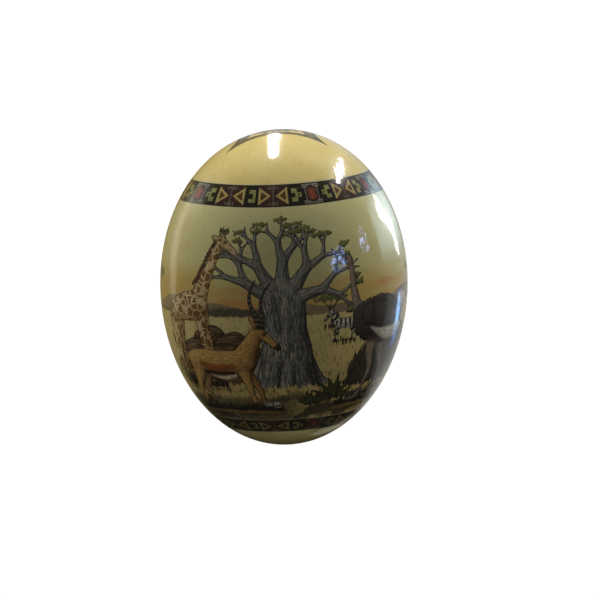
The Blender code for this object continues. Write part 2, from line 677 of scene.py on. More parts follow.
def rhino() -> list[Limb]:
    """A rhinoceros, 30 mm high, facing right, its origin between its feet.

    Returns:
        Its limbs, from the farthest to the nearest.
    """
    hide = Paint.of("b9b3a2", "3c3934", Grain.BARK)
    skin = hide.hairy()
    horn = Paint.of("8d8470", "2c2822")
    fold = Paint.of("4c4842", "24211e")

    def leg(x: float, top: float, wide: float, **more: float) -> Limb:
        """A stout leg, from its top inside the body down to the ground."""
        foot = ((x + 0.1, 6.2, wide * 0.74), (x + 0.3, 2.6, wide * 0.72), (x + 0.6, 1.8, wide * 0.7))
        return hide.limb((x, top, wide), *foot, **more)

    return [
        skin.limb((-24.6, 23, 1.1), (-27.2, 18.5, 0.8), (-27.4, 13.5, 0.8), (-27.2, 11.5, 1.1)),
        leg(15.8, 12, 4.4, deep=FAR_SIDE),
        leg(-9, 12, 4.6, deep=FAR_SIDE),
        hide.limb((-16, 19, 9.3), (-8, 18.8, 10.2), (2, 18.6, 10.6), (9, 20.2, 10.2), (13.5, 21.5, 8.8)),
        hide.limb((13, 20.5, 8.6), (19, 18.6, 6.8), merge=5),
        skin.limb((19.4, 25, 1.1), (18.4, 28.4, 1.6), (18, 30.6, 0.5), deep=0.3),
        hide.limb((19.5, 18, 6.2), (25, 14.6, 4.9), (30.5, 11.2, 3.8), (34, 9, 3.5), merge=4),
        horn.limb((29.6, 15.6, 1.5), (30.6, 18.6, 1), (31, 20.8, 0.3)),
        horn.limb((34, 12.6, 2), (36.4, 17, 1.4), (37.2, 22.8, 0.35)),
        skin.limb((16.8, 25.2, 1.1), (15.2, 28.6, 1.7), (14.4, 30.8, 0.5)),
        EYE.limb((26.6, 15.4, 0.65), flat=1),
        EYE.limb((34.8, 8.2, 0.5), flat=1, ink=0),
        fold.limb((11.8, 29.4, 0.3), (13.6, 23, 0.55), (12.6, 15.5, 0.3), flat=0.6, ink=0),
        fold.limb((-9, 28.2, 0.3), (-9.8, 20, 0.5), (-8.6, 12.5, 0.3), flat=0.6, ink=0),
        leg(-16.6, 14.5, 6.3, merge=5),
        leg(9.4, 13, 5.3, merge=5),
    ]


def ostrich() -> list[Limb]:
    """A cock ostrich, 61 mm high, facing right, its origin between its feet.

    Returns:
        Its limbs, from the farthest to the nearest.
    """
    plume = Paint.of("4b433c", "100e0c")
    white = Paint.of("f6f0dc", "a89c86")
    skin = Paint.of("ab967c", "41372e")
    beak = Paint.of("d9b070", "7d5a30")
    return [
        skin.limb((-1, 27, 3.6), (-3, 20, 2.1), (-5.6, 13, 1.1), (-5, 6, 0.85), (-4.4, 1.5, 1), deep=0.4),
        skin.limb((-4.8, 1.1, 0.9), (-1.2, 0.9, 0.6), deep=0.4),
        white.limb((-12, 36.5, 4.2), (-17, 39, 4), (-21.4, 40.4, 1.8), ragged=1),
        skin.limb(
            (9.2, 37, 4.2), (12.4, 42.5, 2.1), (13.6, 49.5, 1.4),
            (13.6, 55.5, 1.3), (14.4, 58.4, 1.4), ragged=0.25,
        ),
        skin.limb((14.3, 59.2, 1.9), (16.6, 58.9, 1.5), merge=1),
        beak.limb((17.2, 58.9, 0.95), (20.8, 58, 0.35)),
        EYE.limb((15.6, 59.8, 0.6), flat=1),
        plume.limb((-9, 33.5, 8.2), (-2, 34.2, 9.8), (5.5, 35, 8.2), (10.5, 37.4, 3.8), ragged=0.8),
        white.limb((2, 33.5, 3.4), (-5, 29.8, 4.2), (-12, 28.6, 3.4), (-17.4, 29.6, 1.4), ragged=1),
        plume.limb((5, 37, 4.6), (-2, 36, 5.4), (-9.5, 34, 3.4), ragged=0.5),
        skin.limb(
            (1.8, 27.5, 4.2), (3.4, 21, 2.3), (1.2, 14.4, 1.35),
            (2.2, 7, 0.8), (3.2, 1.6, 0.95), merge=4,
        ),
        skin.limb((2.8, 1.1, 1), (7, 0.9, 0.65)),
    ]


@dataclass(frozen=True)
class Baobab:
    """A great baobab tree, 85 mm high, its origin at the foot of its trunk.

    Each bough starts at x and y with a half width, a direction in radians and a length.
    """

    seed: int = 4
    bark: Paint = Paint.of("c2bdaa", "181b20", Grain.BARK)
    leaf: Paint = Paint.of("8f9048", "2e3018")
    forks: int = 3
    leafy: float = 0.75

    BOUGHS = (
        (-6, 50, 4.2, 2.72, 15),
        (-4.5, 53, 4.4, 2.2, 15),
        (0, 54, 4.6, 1.62, 14),
        (4.5, 53, 4.4, 1.02, 14),
        (6.5, 49, 4.0, 0.42, 14),
    )
    TWIG = 1.2

    def limbs(self) -> list[Limb]:
        """Draws the tree.

        Returns:
            Its limbs, from the farthest to the nearest.
        """
        dice = random.Random(self.seed)
        boughs: list[Limb] = []
        tips: list[Spot] = []
        for x, y, wide, angle, length in self.BOUGHS:
            more, ends = self.grow((x, y), wide, angle, length, self.forks, dice)
            boughs += more
            tips += ends
        tufts = [
            self.leaf.limb((x - 1.6, y + 0.2, 1.3), (x + 1.6, y + 0.5, 1.5), ragged=1.2, ink=0.5)
            for x, y in tips
            if dice.random() < self.leafy
        ]
        return tufts[::2] + self.trunk() + boughs + tufts[1::2]

    def grow(
        self, foot: Spot, wide: float, angle: float, length: float, forks: int, dice: random.Random
    ) -> tuple[list[Limb], list[Spot]]:
        """Grows a bough and what forks from its end.

        Args:
            foot: where the bough starts.
            wide: its half width there.
            angle: its direction in radians, anticlockwise from the right.
            length: its length.
            forks: how many times it still forks.
            dice: the seeded random numbers.

        Returns:
            The boughs, and where the last ones end.
        """
        bend = dice.uniform(-0.28, 0.28)
        half = length / 2
        elbow = (foot[0] + math.cos(angle + bend / 2) * half, foot[1] + math.sin(angle + bend / 2) * half)
        tip = (elbow[0] + math.cos(angle + bend) * half, elbow[1] + math.sin(angle + bend) * half)
        bark = self.bark if wide > self.TWIG else self.bark.hairy()
        boughs = [bark.limb((*foot, wide), (*elbow, wide * 0.78), (*tip, wide * 0.6), merge=wide * 1.2)]
        if forks == 0:
            return boughs, [tip]
        spread = dice.uniform(0.42, 0.7)
        tips = []
        for side in (-1, 1):
            out = angle + bend + spread * side * (0.8 + 0.4 * dice.random())
            out += (math.pi / 2 - out) * 0.12
            shorter = length * dice.uniform(0.62, 0.82)
            more, ends = self.grow(tip, max(0.42, wide * 0.56), out, shorter, forks - 1, dice)
            boughs += more
            tips += ends
        return boughs, tips

    def trunk(self) -> list[Limb]:
        """Draws the trunk, its roots and the swellings on it.

        Returns:
            Their limbs, from the farthest to the nearest.
        """
        limb = self.bark.limb
        return [
            limb((-8, 17, 6.5), (-14, 6, 5), (-19, 0, 4.2), (-25, -7, 4)),
            limb((8, 16, 6.5), (14, 5, 4.8), (20, -1, 4), (26, -7, 4), deep=0.25),
            limb(
                (0, -9, 17.5), (0, 2, 16), (0.4, 12, 14), (0.8, 22, 12.8),
                (-0.4, 32, 12), (0.2, 42, 11), (0, 50, 8.4),
            ),
            limb((-5.2, 22, 4.6), (-7.4, 9, 4.6), (-11, -6, 5), merge=9, ink=0.7),
            limb((6, 20, 4.6), (7.6, 8, 4.4), (10, -6, 5), merge=9, ink=0.7, deep=0.2),
            limb((0.6, 16, 3.4), (0.4, 6, 3.8), (-0.6, -6, 4.4), merge=8, ink=0.7),
            limb((-6, 26, 4.4), (-6.2, 36, 4.4), (-8, 49, 4.2), merge=8, ink=0.5),
            limb((6.4, 24, 4.6), (6.6, 34, 4.4), (7.6, 48, 3.8), merge=8, ink=0.5, deep=0.3),
        ]


def kopje() -> list[Limb]:
    """A hill of weathered rocks with scrub between them, 34 mm high, its origin under its middle.

    Returns:
        Its limbs, from the farthest to the nearest.
    """
    rock = Paint.of("94714a", "12110e", Grain.BARK)
    scrub = Paint.of("6f6a3a", "1c1d10", Grain.GRASS)
    rocks = (
        *((-3, 25, 8.0), (10, 23, 7.0), (-15, 18, 8.0), (20, 15, 7.0), (3, 14, 9.5), (-25, 8, 8.0)),
        *((27, 5, 7.5), (-11, 4, 9.5), (10, 2, 9.5), (-34, 0, 6.5), (36, -2, 6.0)),
    )
    made = []
    for x, y, size in rocks:
        made.append(rock.limb((x - size * 0.5, y - size * 0.15, size * 0.82), (x + size * 0.45, y, size)))
        tuft = ((x - size * 0.9, y - size * 0.7, 1.4), (x + size * 0.5, y - size * 0.9, 1.6))
        made.append(scrub.limb(*tuft, ragged=2.0, ink=0.3))
    return made


def thicket(seed: int, wide: float, high: float, paint: Paint) -> list[Limb]:
    """A dense thicket of scrub, its origin under its middle.

    Args:
        seed: the seed of its random form.
        wide: its half width.
        high: its height.
        paint: its paint.

    Returns:
        Its limbs, from the farthest to the nearest.
    """
    dice = random.Random(seed)
    rows = (0.72, 0.42, 0.14)
    made = []
    for row in rows:
        for step in range(7):
            across = step / 3 - 1
            x = across * wide * (1.05 - 0.35 * row) + dice.uniform(-1.5, 1.5)
            y = high * row * dice.uniform(0.8, 1.1) * (1.1 - 0.4 * abs(across))
            size = high * dice.uniform(0.20, 0.28)
            left, right = (x - size * 0.8, y, size * 0.8), (x + size * 0.8, y, size * 0.7)
            deep = (rows[0] - row) * 0.5
            made.append(paint.limb(left, (x, y + size * 0.3, size), right, ragged=2.2, ink=0.3, deep=deep))
    return made


def aloe(seed: int) -> list[Limb]:
    """An aloe with pointed leaves, 14 mm high, its origin at its foot.

    Args:
        seed: the seed of its random form.

    Returns:
        Its leaves, from the farthest to the nearest.
    """
    dice = random.Random(seed)
    leaf = Paint.of("5a5a34", "17170e")
    made = []
    for step in (0, 8, 2, 6, 1, 7, 3, 5, 4):
        angle = math.radians(20 + 17.5 * step + dice.uniform(-6, 6))
        length = dice.uniform(11, 15)
        half = (math.cos(angle) * length * 0.55, math.sin(angle) * length * 0.62)
        tip = (math.cos(angle) * length * 1.05, math.sin(angle) * length)
        made.append(leaf.limb((0, 0, 1.3), (*half, 1.15), (*tip, 0.2), ink=0.8))
    return made


def acacia() -> list[Limb]:
    """A flat-topped acacia, 40 mm high, its origin at the foot of its trunk.

    Returns:
        Its limbs, from the farthest to the nearest.
    """
    bark = Paint.of("8d7a5e", "2a221a")
    crown = Paint.of("8d9148", "262b14")
    made = [
        bark.limb((0, 0, 2), (0.6, 8, 1.5), (-0.4, 17, 1.3)),
        bark.limb((-0.4, 16, 1.3), (-5, 25, 0.9), (-12, 31, 0.6), merge=1),
        bark.limb((-0.4, 16, 1.3), (4, 24, 1), (11, 31, 0.6), merge=1),
        bark.limb((0, 22, 0.9), (-1, 28, 0.7), (1, 33, 0.5), merge=1),
    ]
    pads = (
        *((-11, 31.5, 8, 2.5), (10, 31.5, 9, 2.4), (-1, 34.5, 12, 2.9)),
        *((-15, 34, 5, 2), (15, 34.5, 4.5, 1.9), (2, 37, 8, 2)),
    )
    for x, y, wide, thick in pads:
        left, right = (x - wide, y, thick * 0.7), (x + wide, y, thick * 0.6)
        middle = ((x - wide * 0.3, y + 0.8, thick), (x + wide * 0.4, y + 0.6, thick))
        made.append(crown.limb(left, *middle, right, ragged=1.5, ink=0.5))
    return made


# --- Shader workbench ---


@dataclass(frozen=True)
class Wire:
    """A socket's output in a node tree, on which the usual arithmetic places math nodes."""

    bench: "Bench"
    socket: bpy.types.NodeSocket

    def __add__(self, other: Source) -> "Wire":
        """This plus the other."""
        return self.bench.math("ADD", self, other)

    def __sub__(self, other: Source) -> "Wire":
        """This minus the other."""
        return self.bench.math("SUBTRACT", self, other)

    def __rsub__(self, other: Source) -> "Wire":
        """The other minus this."""
        return self.bench.math("SUBTRACT", other, self)

    def __neg__(self) -> "Wire":
        """This with the other sign."""
        return self * -1.0

    def __mul__(self, other: Source) -> "Wire":
        """This times the other."""
        return self.bench.math("MULTIPLY", self, other)

    def __truediv__(self, other: Source) -> "Wire":
        """This divided by the other."""
        return self.bench.math("DIVIDE", self, other)

    def __abs__(self) -> "Wire":
        """This without its sign."""
        return self.bench.math("ABSOLUTE", self)

    def least(self, other: Source) -> "Wire":
        """The smaller of the two."""
        return self.bench.math("MINIMUM", self, other)

    def most(self, other: Source) -> "Wire":
        """The larger of the two."""
        return self.bench.math("MAXIMUM", self, other)

    def outside(self, middle: float, half: float) -> "Wire":
        """How far this is outside a stretch, which is under 0 inside it."""
        return abs(self - middle) - half


class Bench:
    """Places shader nodes in one tree and joins them."""

    def __init__(self, tree: bpy.types.NodeTree) -> None:
        """Works on a tree."""
        self.tree = tree

    def node(self, kind: str, **settings: object) -> bpy.types.Node:
        """Places a node.

        Args:
            kind: the node's type, without ShaderNode.
            settings: its properties.

        Returns:
            The node.
        """
        placed = self.tree.nodes.new(f"ShaderNode{kind}")
        for name, value in settings.items():
            setattr(placed, name, value)
        return placed

    def feed(self, socket: bpy.types.NodeSocket, source: Source) -> None:
        """Links a source to a socket, or sets the socket where the source is a plain value.

        Args:
            socket: the socket.
            source: what feeds it.
        """
        if isinstance(source, Wire):
            source = source.socket
        if isinstance(source, bpy.types.NodeSocket):
            self.tree.links.new(source, socket)
        elif socket.type == "RGBA":
            socket.default_value = (*source, 1.0)
        else:
            socket.default_value = source

    def feed_all(self, node: bpy.types.Node, feeds: dict[str | int, Source]) -> None:
        """Feeds a node's inputs by their names or numbers."""
        for name, source in feeds.items():
            self.feed(node.inputs[name], source)

    def read(
        self, kind: str, feeds: dict[str | int, Source], output: str | int = 0, **settings: object
    ) -> Wire:
        """Places a node, feeds its inputs and reads one of its outputs.

        Args:
            kind: the node's type, without ShaderNode.
            feeds: what feeds each input.
            output: the output that is read.
            settings: the node's properties.

        Returns:
            The output.
        """
        made = self.node(kind, **settings)
        self.feed_all(made, feeds)
        return Wire(self, made.outputs[output])

    def math(self, operation: str, *sources: Source, clamp: bool = False) -> Wire:
        """What a math node works out from the sources."""
        return self.read("Math", dict(enumerate(sources)), operation=operation, use_clamp=clamp)

    def rise(self, value: Source, low: float, high: float, bottom: float = 0.0, top: float = 1.0) -> Wire:
        """Rises smoothly from bottom to top while the value goes from low to high."""
        feeds = {"Value": value, "From Min": low, "From Max": high, "To Min": bottom, "To Max": top}
        return self.read("MapRange", feeds, "Result", interpolation_type="SMOOTHSTEP")

    def within(self, distance: Source, soft: float, share: float = 1.0) -> Wire:
        """A mask that is the share where a distance is under 0, with an edge as soft as told."""
        return self.rise(distance, -soft, soft, share, 0.0)

    def blend(self, share: Source, under: Source, over: Source, mode: str = "MIX") -> Wire:
        """Mixes a share of the second colour into the first."""
        return self.read("Mix", {0: share, 6: under, 7: over}, 2, data_type="RGBA", blend_type=mode)

    def lay(self, under: Source, shape: Source, soft: float, over: Source, share: float = 1.0) -> Wire:
        """Lays a share of a colour over another where a shape's distance is under 0."""
        return self.blend(self.within(shape, soft, share), under, over)

    def noise(self, place: Source, scale: float, detail: float = 2.0, twist: float = 0.0) -> Wire:
        """Smooth noise from 0 to 1, with scale waves in one unit, detail finer layers and a twist."""
        feeds = {"Vector": place, "Scale": scale, "Detail": detail, "Distortion": twist}
        return self.read("TexNoise", feeds, "Fac")

    def streaks(
        self, x: Wire, y: Wire, waves: Spot, layer: Source, detail: float = 2.0, twist: float = 0.0
    ) -> Wire:
        """A layer of noise that is drawn out one way, with so many waves in one unit of x and of y."""
        return self.noise(self.vector(x * waves[0], y * waves[1], layer), 1.0, detail, twist)

    def cells(self, place: Source, scale: float, feature: str, output: str = "Distance") -> Wire:
        """Scale cells of a Voronoi pattern in one unit: a distance, or each cell's own colour."""
        return self.read("TexVoronoi", {"Vector": place, "Scale": scale}, output, feature=feature)

    def grey(self, value: Source) -> Wire:
        """A grey of the value."""
        return self.vector(value, value, value)

    def parts(self, vector: Source) -> tuple[Wire, Wire, Wire]:
        """The three parts of a vector.

        Args:
            vector: the vector.

        Returns:
            The parts along X, Y and Z.
        """
        made = self.node("SeparateXYZ")
        self.feed(made.inputs[0], vector)
        return tuple(Wire(self, socket) for socket in made.outputs)

    def vector(self, x: Source, y: Source, z: Source) -> Wire:
        """A vector of three values."""
        return self.read("CombineXYZ", {0: x, 1: y, 2: z})

    def vector_math(self, operation: str, *sources: Source, output: str = "Vector") -> Wire:
        """What a vector math node works out from the sources."""
        return self.read("VectorMath", dict(enumerate(sources)), output, operation=operation)

    def dot(self, first: Source, second: Source) -> Wire:
        """The dot product of two vectors."""
        return self.vector_math("DOT_PRODUCT", first, second, output="Value")

    def length(self, vector: Source) -> Wire:
        """A vector's length."""
        return self.vector_math("LENGTH", vector, output="Value")

    def minus(self, first: Source, second: Source) -> Wire:
        """One vector minus another."""
        return self.vector_math("SUBTRACT", first, second)

    def times(self, vector: Source, factor: Source) -> Wire:
        """A vector times a number."""
        return self.vector_math("MULTIPLY", vector, self.grey(factor))

    def ramp(self, value: Source, stops: Sequence[tuple[float, Rgb]]) -> Wire:
        """A row of colours, read by a value.

        Args:
            value: the value, from 0 to 1.
            stops: places and colours.

        Returns:
            The colour.
        """
        made = self.node("ValToRGB")
        row = made.color_ramp.elements
        while len(row) < len(stops):
            row.new(0.5)
        for element, (place, colour) in zip(row, stops):
            element.position = place
            element.color = (*colour, 1.0)
        self.feed(made.inputs[0], value)
        return Wire(self, made.outputs["Color"])

    def attribute(self, name: str) -> Wire:
        """A vector that the mesh carries."""
        return self.read("Attribute", {}, "Vector", attribute_name=name)

    def group(self, tree: bpy.types.NodeTree, **sources: Source) -> Wire:
        """The first output of a node group, whose inputs are fed by name."""
        return self.read("Group", sources, node_tree=tree)


class Recipe:
    """A shader node group with named inputs and one output."""

    def __init__(self, name: str, takes: dict[str, str], gives: tuple[str, str]) -> None:
        """Starts the group.

        Args:
            name: the group's name.
            takes: each input's name and kind, such as Float, Vector or Color.
            gives: the output's name and kind.
        """
        self.tree = bpy.data.node_groups.new(name, "ShaderNodeTree")
        for label, kind in takes.items():
            self.tree.interface.new_socket(label, in_out="INPUT", socket_type=f"NodeSocket{kind}")
        self.tree.interface.new_socket(gives[0], in_out="OUTPUT", socket_type=f"NodeSocket{gives[1]}")
        self.bench = Bench(self.tree)
        self.entry = self.tree.nodes.new("NodeGroupInput")

    def input(self, name: str) -> Wire:
        """One of the group's inputs."""
        return Wire(self.bench, self.entry.outputs[name])

    def finish(self, result: Wire) -> bpy.types.NodeTree:
        """Sends the result out and returns the group's tree."""
        self.bench.feed(self.tree.nodes.new("NodeGroupOutput").inputs[0], result)
        return self.tree


# --- The print ---


@dataclass(frozen=True)
class DrawnSheet:
    """How a sheet of motifs is finished: frayed edges, ink outlines, hair, stripes, patches and bark.

    Waves are in a millimetre along a limb and across it. The waves of the grass blades are in a radian
    round the egg and in a millimetre of height. An edge is where a mask starts and ends.
    """

    ink: Rgb = ink_of("191815")
    crisp: float = 0.12
    line_width: float = 0.6
    line_share: float = 0.85
    fray_scale: float = 0.75
    fray_reach: float = 4.2
    stroke_waves: Spot = (0.28, 2.0)
    stroke_light: Spot = (0.55, 1.38)
    hair_waves: Spot = (0.42, 3.1)
    hair_edge: Spot = (0.42, 0.34)
    hair_share: float = 0.45
    wobble_waves: Spot = (0.25, 0.25)
    wobble_reach: float = 3.6
    stripe: Rgb = ink_of("2a231d")
    stripe_length: float = 2.5
    stripe_edge: Spot = (-0.15, 0.25)
    patch: Rgb = (0.40, 0.23, 0.11)
    patch_scale: float = 0.26
    patch_edge: Spot = (0.07, 0.13)
    ridge_waves: Spot = (0.10, 0.62)
    ridge_edge: Spot = (0.10, 0.0)
    ridge_share: float = 0.75
    blade_waves: Spot = (85.0, 0.20)
    blade_edge: Spot = (0.46, 0.60)
    blade_share: float = 0.7

    SAME_KIND = 0.4

    def recipe(self) -> bpy.types.NodeTree:
        """The node group that lays a sheet over the colour under it.

        Returns:
            The group, with Under, Paint, Form, Grain and Place as inputs.
        """
        takes = {"Under": "Color", **dict.fromkeys(("Paint", "Form", "Grain", "Place"), "Vector")}
        made = Recipe("drawn_sheet", takes, ("Color", "Color"))
        b = made.bench
        edge, ragged, ink = b.parts(made.input("Form"))
        along, side, kind = b.parts(made.input("Grain"))
        x, height, z = b.parts(made.input("Place"))
        grassy, striped, patched, barky = (
            b.math("COMPARE", kind, grain.value, self.SAME_KIND)
            for grain in (Grain.GRASS, Grain.STRIPES, Grain.PATCHES, Grain.BARK)
        )
        blades = b.streaks(b.math("ARCTAN2", x, z), height, self.blade_waves, 6.0)
        fray = b.blend(grassy, b.noise(made.input("Place"), self.fray_scale), blades)
        frayed = edge + (fray - 0.5) * ragged * self.fray_reach
        strokes = b.streaks(along, side, self.stroke_waves, kind * 7.0)
        light = b.grey(b.rise(strokes, 0.25, 0.75, *self.stroke_light))
        colour = b.blend(1.0, made.input("Paint"), light, "MULTIPLY")
        hairs = b.rise(b.streaks(along, side, self.hair_waves, kind * 5.0, 1.0), *self.hair_edge)
        colour = b.blend(hairs * self.hair_share, colour, self.ink)
        wobble = b.streaks(along, side, self.wobble_waves, 3.0, 1.0) * self.wobble_reach
        wave = b.math("SINE", along * (2 * math.pi / self.stripe_length) + wobble)
        colour = b.blend(b.rise(wave, *self.stripe_edge) * striped, colour, self.stripe)
        walls = b.cells(b.vector(along + wobble * 0.3, side, 1.0), self.patch_scale, "DISTANCE_TO_EDGE")
        colour = b.blend(b.rise(walls, *self.patch_edge) * patched, colour, self.patch, "MULTIPLY")
        ridges = abs(b.streaks(along, side, self.ridge_waves, 5.0, 3.0) - 0.5)
        colour = b.blend(b.rise(ridges, *self.ridge_edge) * barky * self.ridge_share, colour, self.ink)
        colour = b.blend(b.rise(blades, *self.blade_edge) * grassy * self.blade_share, colour, self.ink)
        outline = b.rise(frayed, self.line_width * 0.35, self.line_width, self.line_share, 0.0) * ink
        colour = b.blend(outline, colour, self.ink)
        return made.finish(b.blend(b.within(-frayed, self.crisp), made.input("Under"), colour))


class Module(Enum):
    """The figures of the patterned bands, with the width of each in degrees of the upper band."""

    HEXAGON = 11.6
    CROSS = 9.1
    HOURGLASS = 17.6
    BRACKET = 7.6


@dataclass(frozen=True)
class PatternedBand:
    """A traditional woven pattern, printed as a band round the egg. Its figures are in millimetres."""

    order: Sequence[Module] = (
        *(Module.HEXAGON, Module.CROSS, Module.HOURGLASS, Module.BRACKET, Module.HOURGLASS),
        *(Module.CROSS, Module.HEXAGON, Module.CROSS, Module.HOURGLASS, Module.CROSS),
    )
    repeat: float = 120.0
    degree: float = 0.8186
    half_height: float = 6.1
    border: float = 0.5
    black: Rgb = (0.012, 0.011, 0.005)
    maroon: Rgb = (0.055, 0.022, 0.016)
    yellow: Rgb = (0.49, 0.38, 0.125)
    core: Rgb = (0.12, 0.050, 0.008)
    green: Rgb = (0.30, 0.30, 0.095)
    red: Rgb = (0.33, 0.070, 0.038)
    lilac: Rgb = (0.23, 0.21, 0.18)
    pale: Rgb = (0.62, 0.58, 0.36)
    crisp: float = 0.14
    worn_light: Spot = (0.66, 1.25)

    def share(self) -> float:
        """How much of its own width each figure takes, so that they fill the repeat."""
        return self.repeat / sum(one.value for one in self.order)

    def centres(self, module: Module) -> list[float]:
        """Where a figure's copies are along the repeat.

        Args:
            module: the figure.

        Returns:
            Their middles, in degrees of the upper band.
        """
        at, found = 0.0, []
        for one in self.order:
            if one is module:
                found.append((at + one.value / 2) * self.share())
            at += one.value
        return found

    def nearest(self, b: Bench, run: Wire, module: Module) -> Wire:
        """How far it is to the nearest copy of a figure.

        Args:
            b: the group's bench, which is not used.
            run: the place along the repeat, in degrees of the upper band.
            module: the figure.

        Returns:
            The distance in millimetres.
        """
        least = None
        for centre in self.centres(module):
            for turn in (-self.repeat, 0.0, self.repeat):
                if -self.repeat / 4 < centre + turn < self.repeat * 5 / 4:
                    away = abs(run - (centre + turn))
                    least = away if least is None else least.least(away)
        return least * self.degree

    def recipe(self) -> bpy.types.NodeTree:
        """The node group of the band.

        Returns:
            The group. Run is in degrees of the upper band and Height is from -1 to 1.
        """
        takes = {"Run": "Float", "Height": "Float", "Place": "Vector"}
        made = Recipe("patterned_band", takes, ("Color", "Color"))
        b = made.bench
        run = b.math("FLOORED_MODULO", made.input("Run"), self.repeat)
        y = made.input("Height") * self.half_height
        rise = abs(y)
        hexagon = self.nearest(b, run, Module.HEXAGON)
        colour = self.hourglass(b, self.nearest(b, run, Module.HOURGLASS), rise, y)
        colour = self.hexagon(b, colour, hexagon, rise)
        colour = self.cross(b, colour, hexagon, rise)
        bracket = (run - self.centres(Module.BRACKET)[0]) * self.degree
        colour = self.bracket(b, colour, bracket, rise)
        worn = b.rise(b.noise(made.input("Place"), 1.1, 3.0), 0.3, 0.7, *self.worn_light)
        colour = b.blend(1.0, colour, b.grey(worn), "MULTIPLY")
        edge = b.rise(rise, self.half_height - self.border * 1.3, self.half_height - self.border * 0.8)
        return made.finish(b.blend(edge, colour, self.black))

    def lay(self, b: Bench, under: Source, shape: Wire, over: Source, share: float = 1.0) -> Wire:
        """Lays a crisp shape over what is there."""
        return b.lay(under, shape, self.crisp, over, share)

    def hourglass(self, b: Bench, x: Wire, rise: Wire, y: Wire) -> Wire:
        """Two outlined triangles, point to point, on maroon with pale ticks.

        Args:
            b: the group's bench.
            x: the distance from the figure's middle along the band, in millimetres.
            rise: the distance from the band's middle line.
            y: the height above it.

        Returns:
            The colour.
        """
        ground = self.lay(b, self.black, x - 6.95, self.maroon)
        ground = self.lay(b, ground, x - 0.28, self.lilac, 0.6)
        ticks = b.rise(b.math("SINE", x * 5.6 + y * 0.5), 0.72, 0.95)
        row = b.within(rise.outside(4.3, 0.75), 0.3) * b.within(x - 2.4, 0.3)
        ground = b.blend(ticks * row * 0.7, ground, self.pale)
        side = (x - 7.0).most(rise * 0.78 - (x - 1.1) * 0.64)
        colour = self.lay(b, ground, side, self.yellow)
        colour = self.lay(b, colour, side + 1.15, self.black)
        return self.lay(b, colour, side + 1.45, self.core)

    def hexagon(self, b: Bench, under: Wire, x: Wire, rise: Wire) -> Wire:
        """A red hexagon in a dark ring, between two lilac strips with a dark line in each.

        Args:
            b: the group's bench.
            under: the colour under it.
            x: the distance from the figure's middle along the band, in millimetres.
            rise: the distance from the band's middle line.

        Returns:
            The colour.
        """
        panel = self.lay(b, self.black, rise.outside(4.45, 0.95), self.lilac)
        panel = self.lay(b, panel, rise.outside(4.5, 0.18), self.black, 0.8)
        colour = self.lay(b, under, x - 4.75, panel)
        shape = (x - 2.75).most(x * 0.5 + rise * 0.866 - 4.0)
        for inset, over in ((-0.75, self.lilac), (-0.3, self.black), (0.0, self.maroon)):
            colour = self.lay(b, colour, shape + inset, over)
        streaks = b.rise(b.math("SINE", x * 3.6 + rise * 0.9), -0.9, 0.2, 0.35, 1.0)
        return b.blend(b.within(shape + 0.95, self.crisp) * streaks, colour, self.red)

    def cross(self, b: Bench, under: Wire, hexagon: Wire, rise: Wire) -> Wire:
        """A stepped cross whose middle arm has a square hole and points to the hexagon.

        Args:
            b: the group's bench.
            under: the colour under it.
            hexagon: the distance from the nearest hexagon's middle along the band, in millimetres.
            rise: the distance from the band's middle line.

        Returns:
            The colour.
        """
        reach = (Module.HEXAGON.value + Module.CROSS.value) / 2 * self.share() * self.degree
        x = -(hexagon - reach)
        blocks = x.outside(-0.6, 1.45).most(rise.outside(2.4, 1.2))
        back = x.outside(0.3, 0.5).most(rise - 1.3)
        arm = x.outside(1.7, 1.15).most(rise - 1.3)
        hole = x.outside(1.65, 0.45).most(rise - 0.5)
        return self.lay(b, under, blocks.least(back).least(arm.most(-hole)), self.green)

    def bracket(self, b: Bench, under: Wire, x: Wire, rise: Wire) -> Wire:
        """A stout square bracket, open to the left.

        Args:
            b: the group's bench.
            under: the colour under it.
            x: the place to the right of its middle along the band, in millimetres.
            rise: the distance from the band's middle line.

        Returns:
            The colour.
        """
        whole = x.outside(0.3, 1.6).most(rise - 3.45)
        notch = (x - 0.65).most(rise - 1.4)
        return self.lay(b, under, whole.most(-notch), self.green)


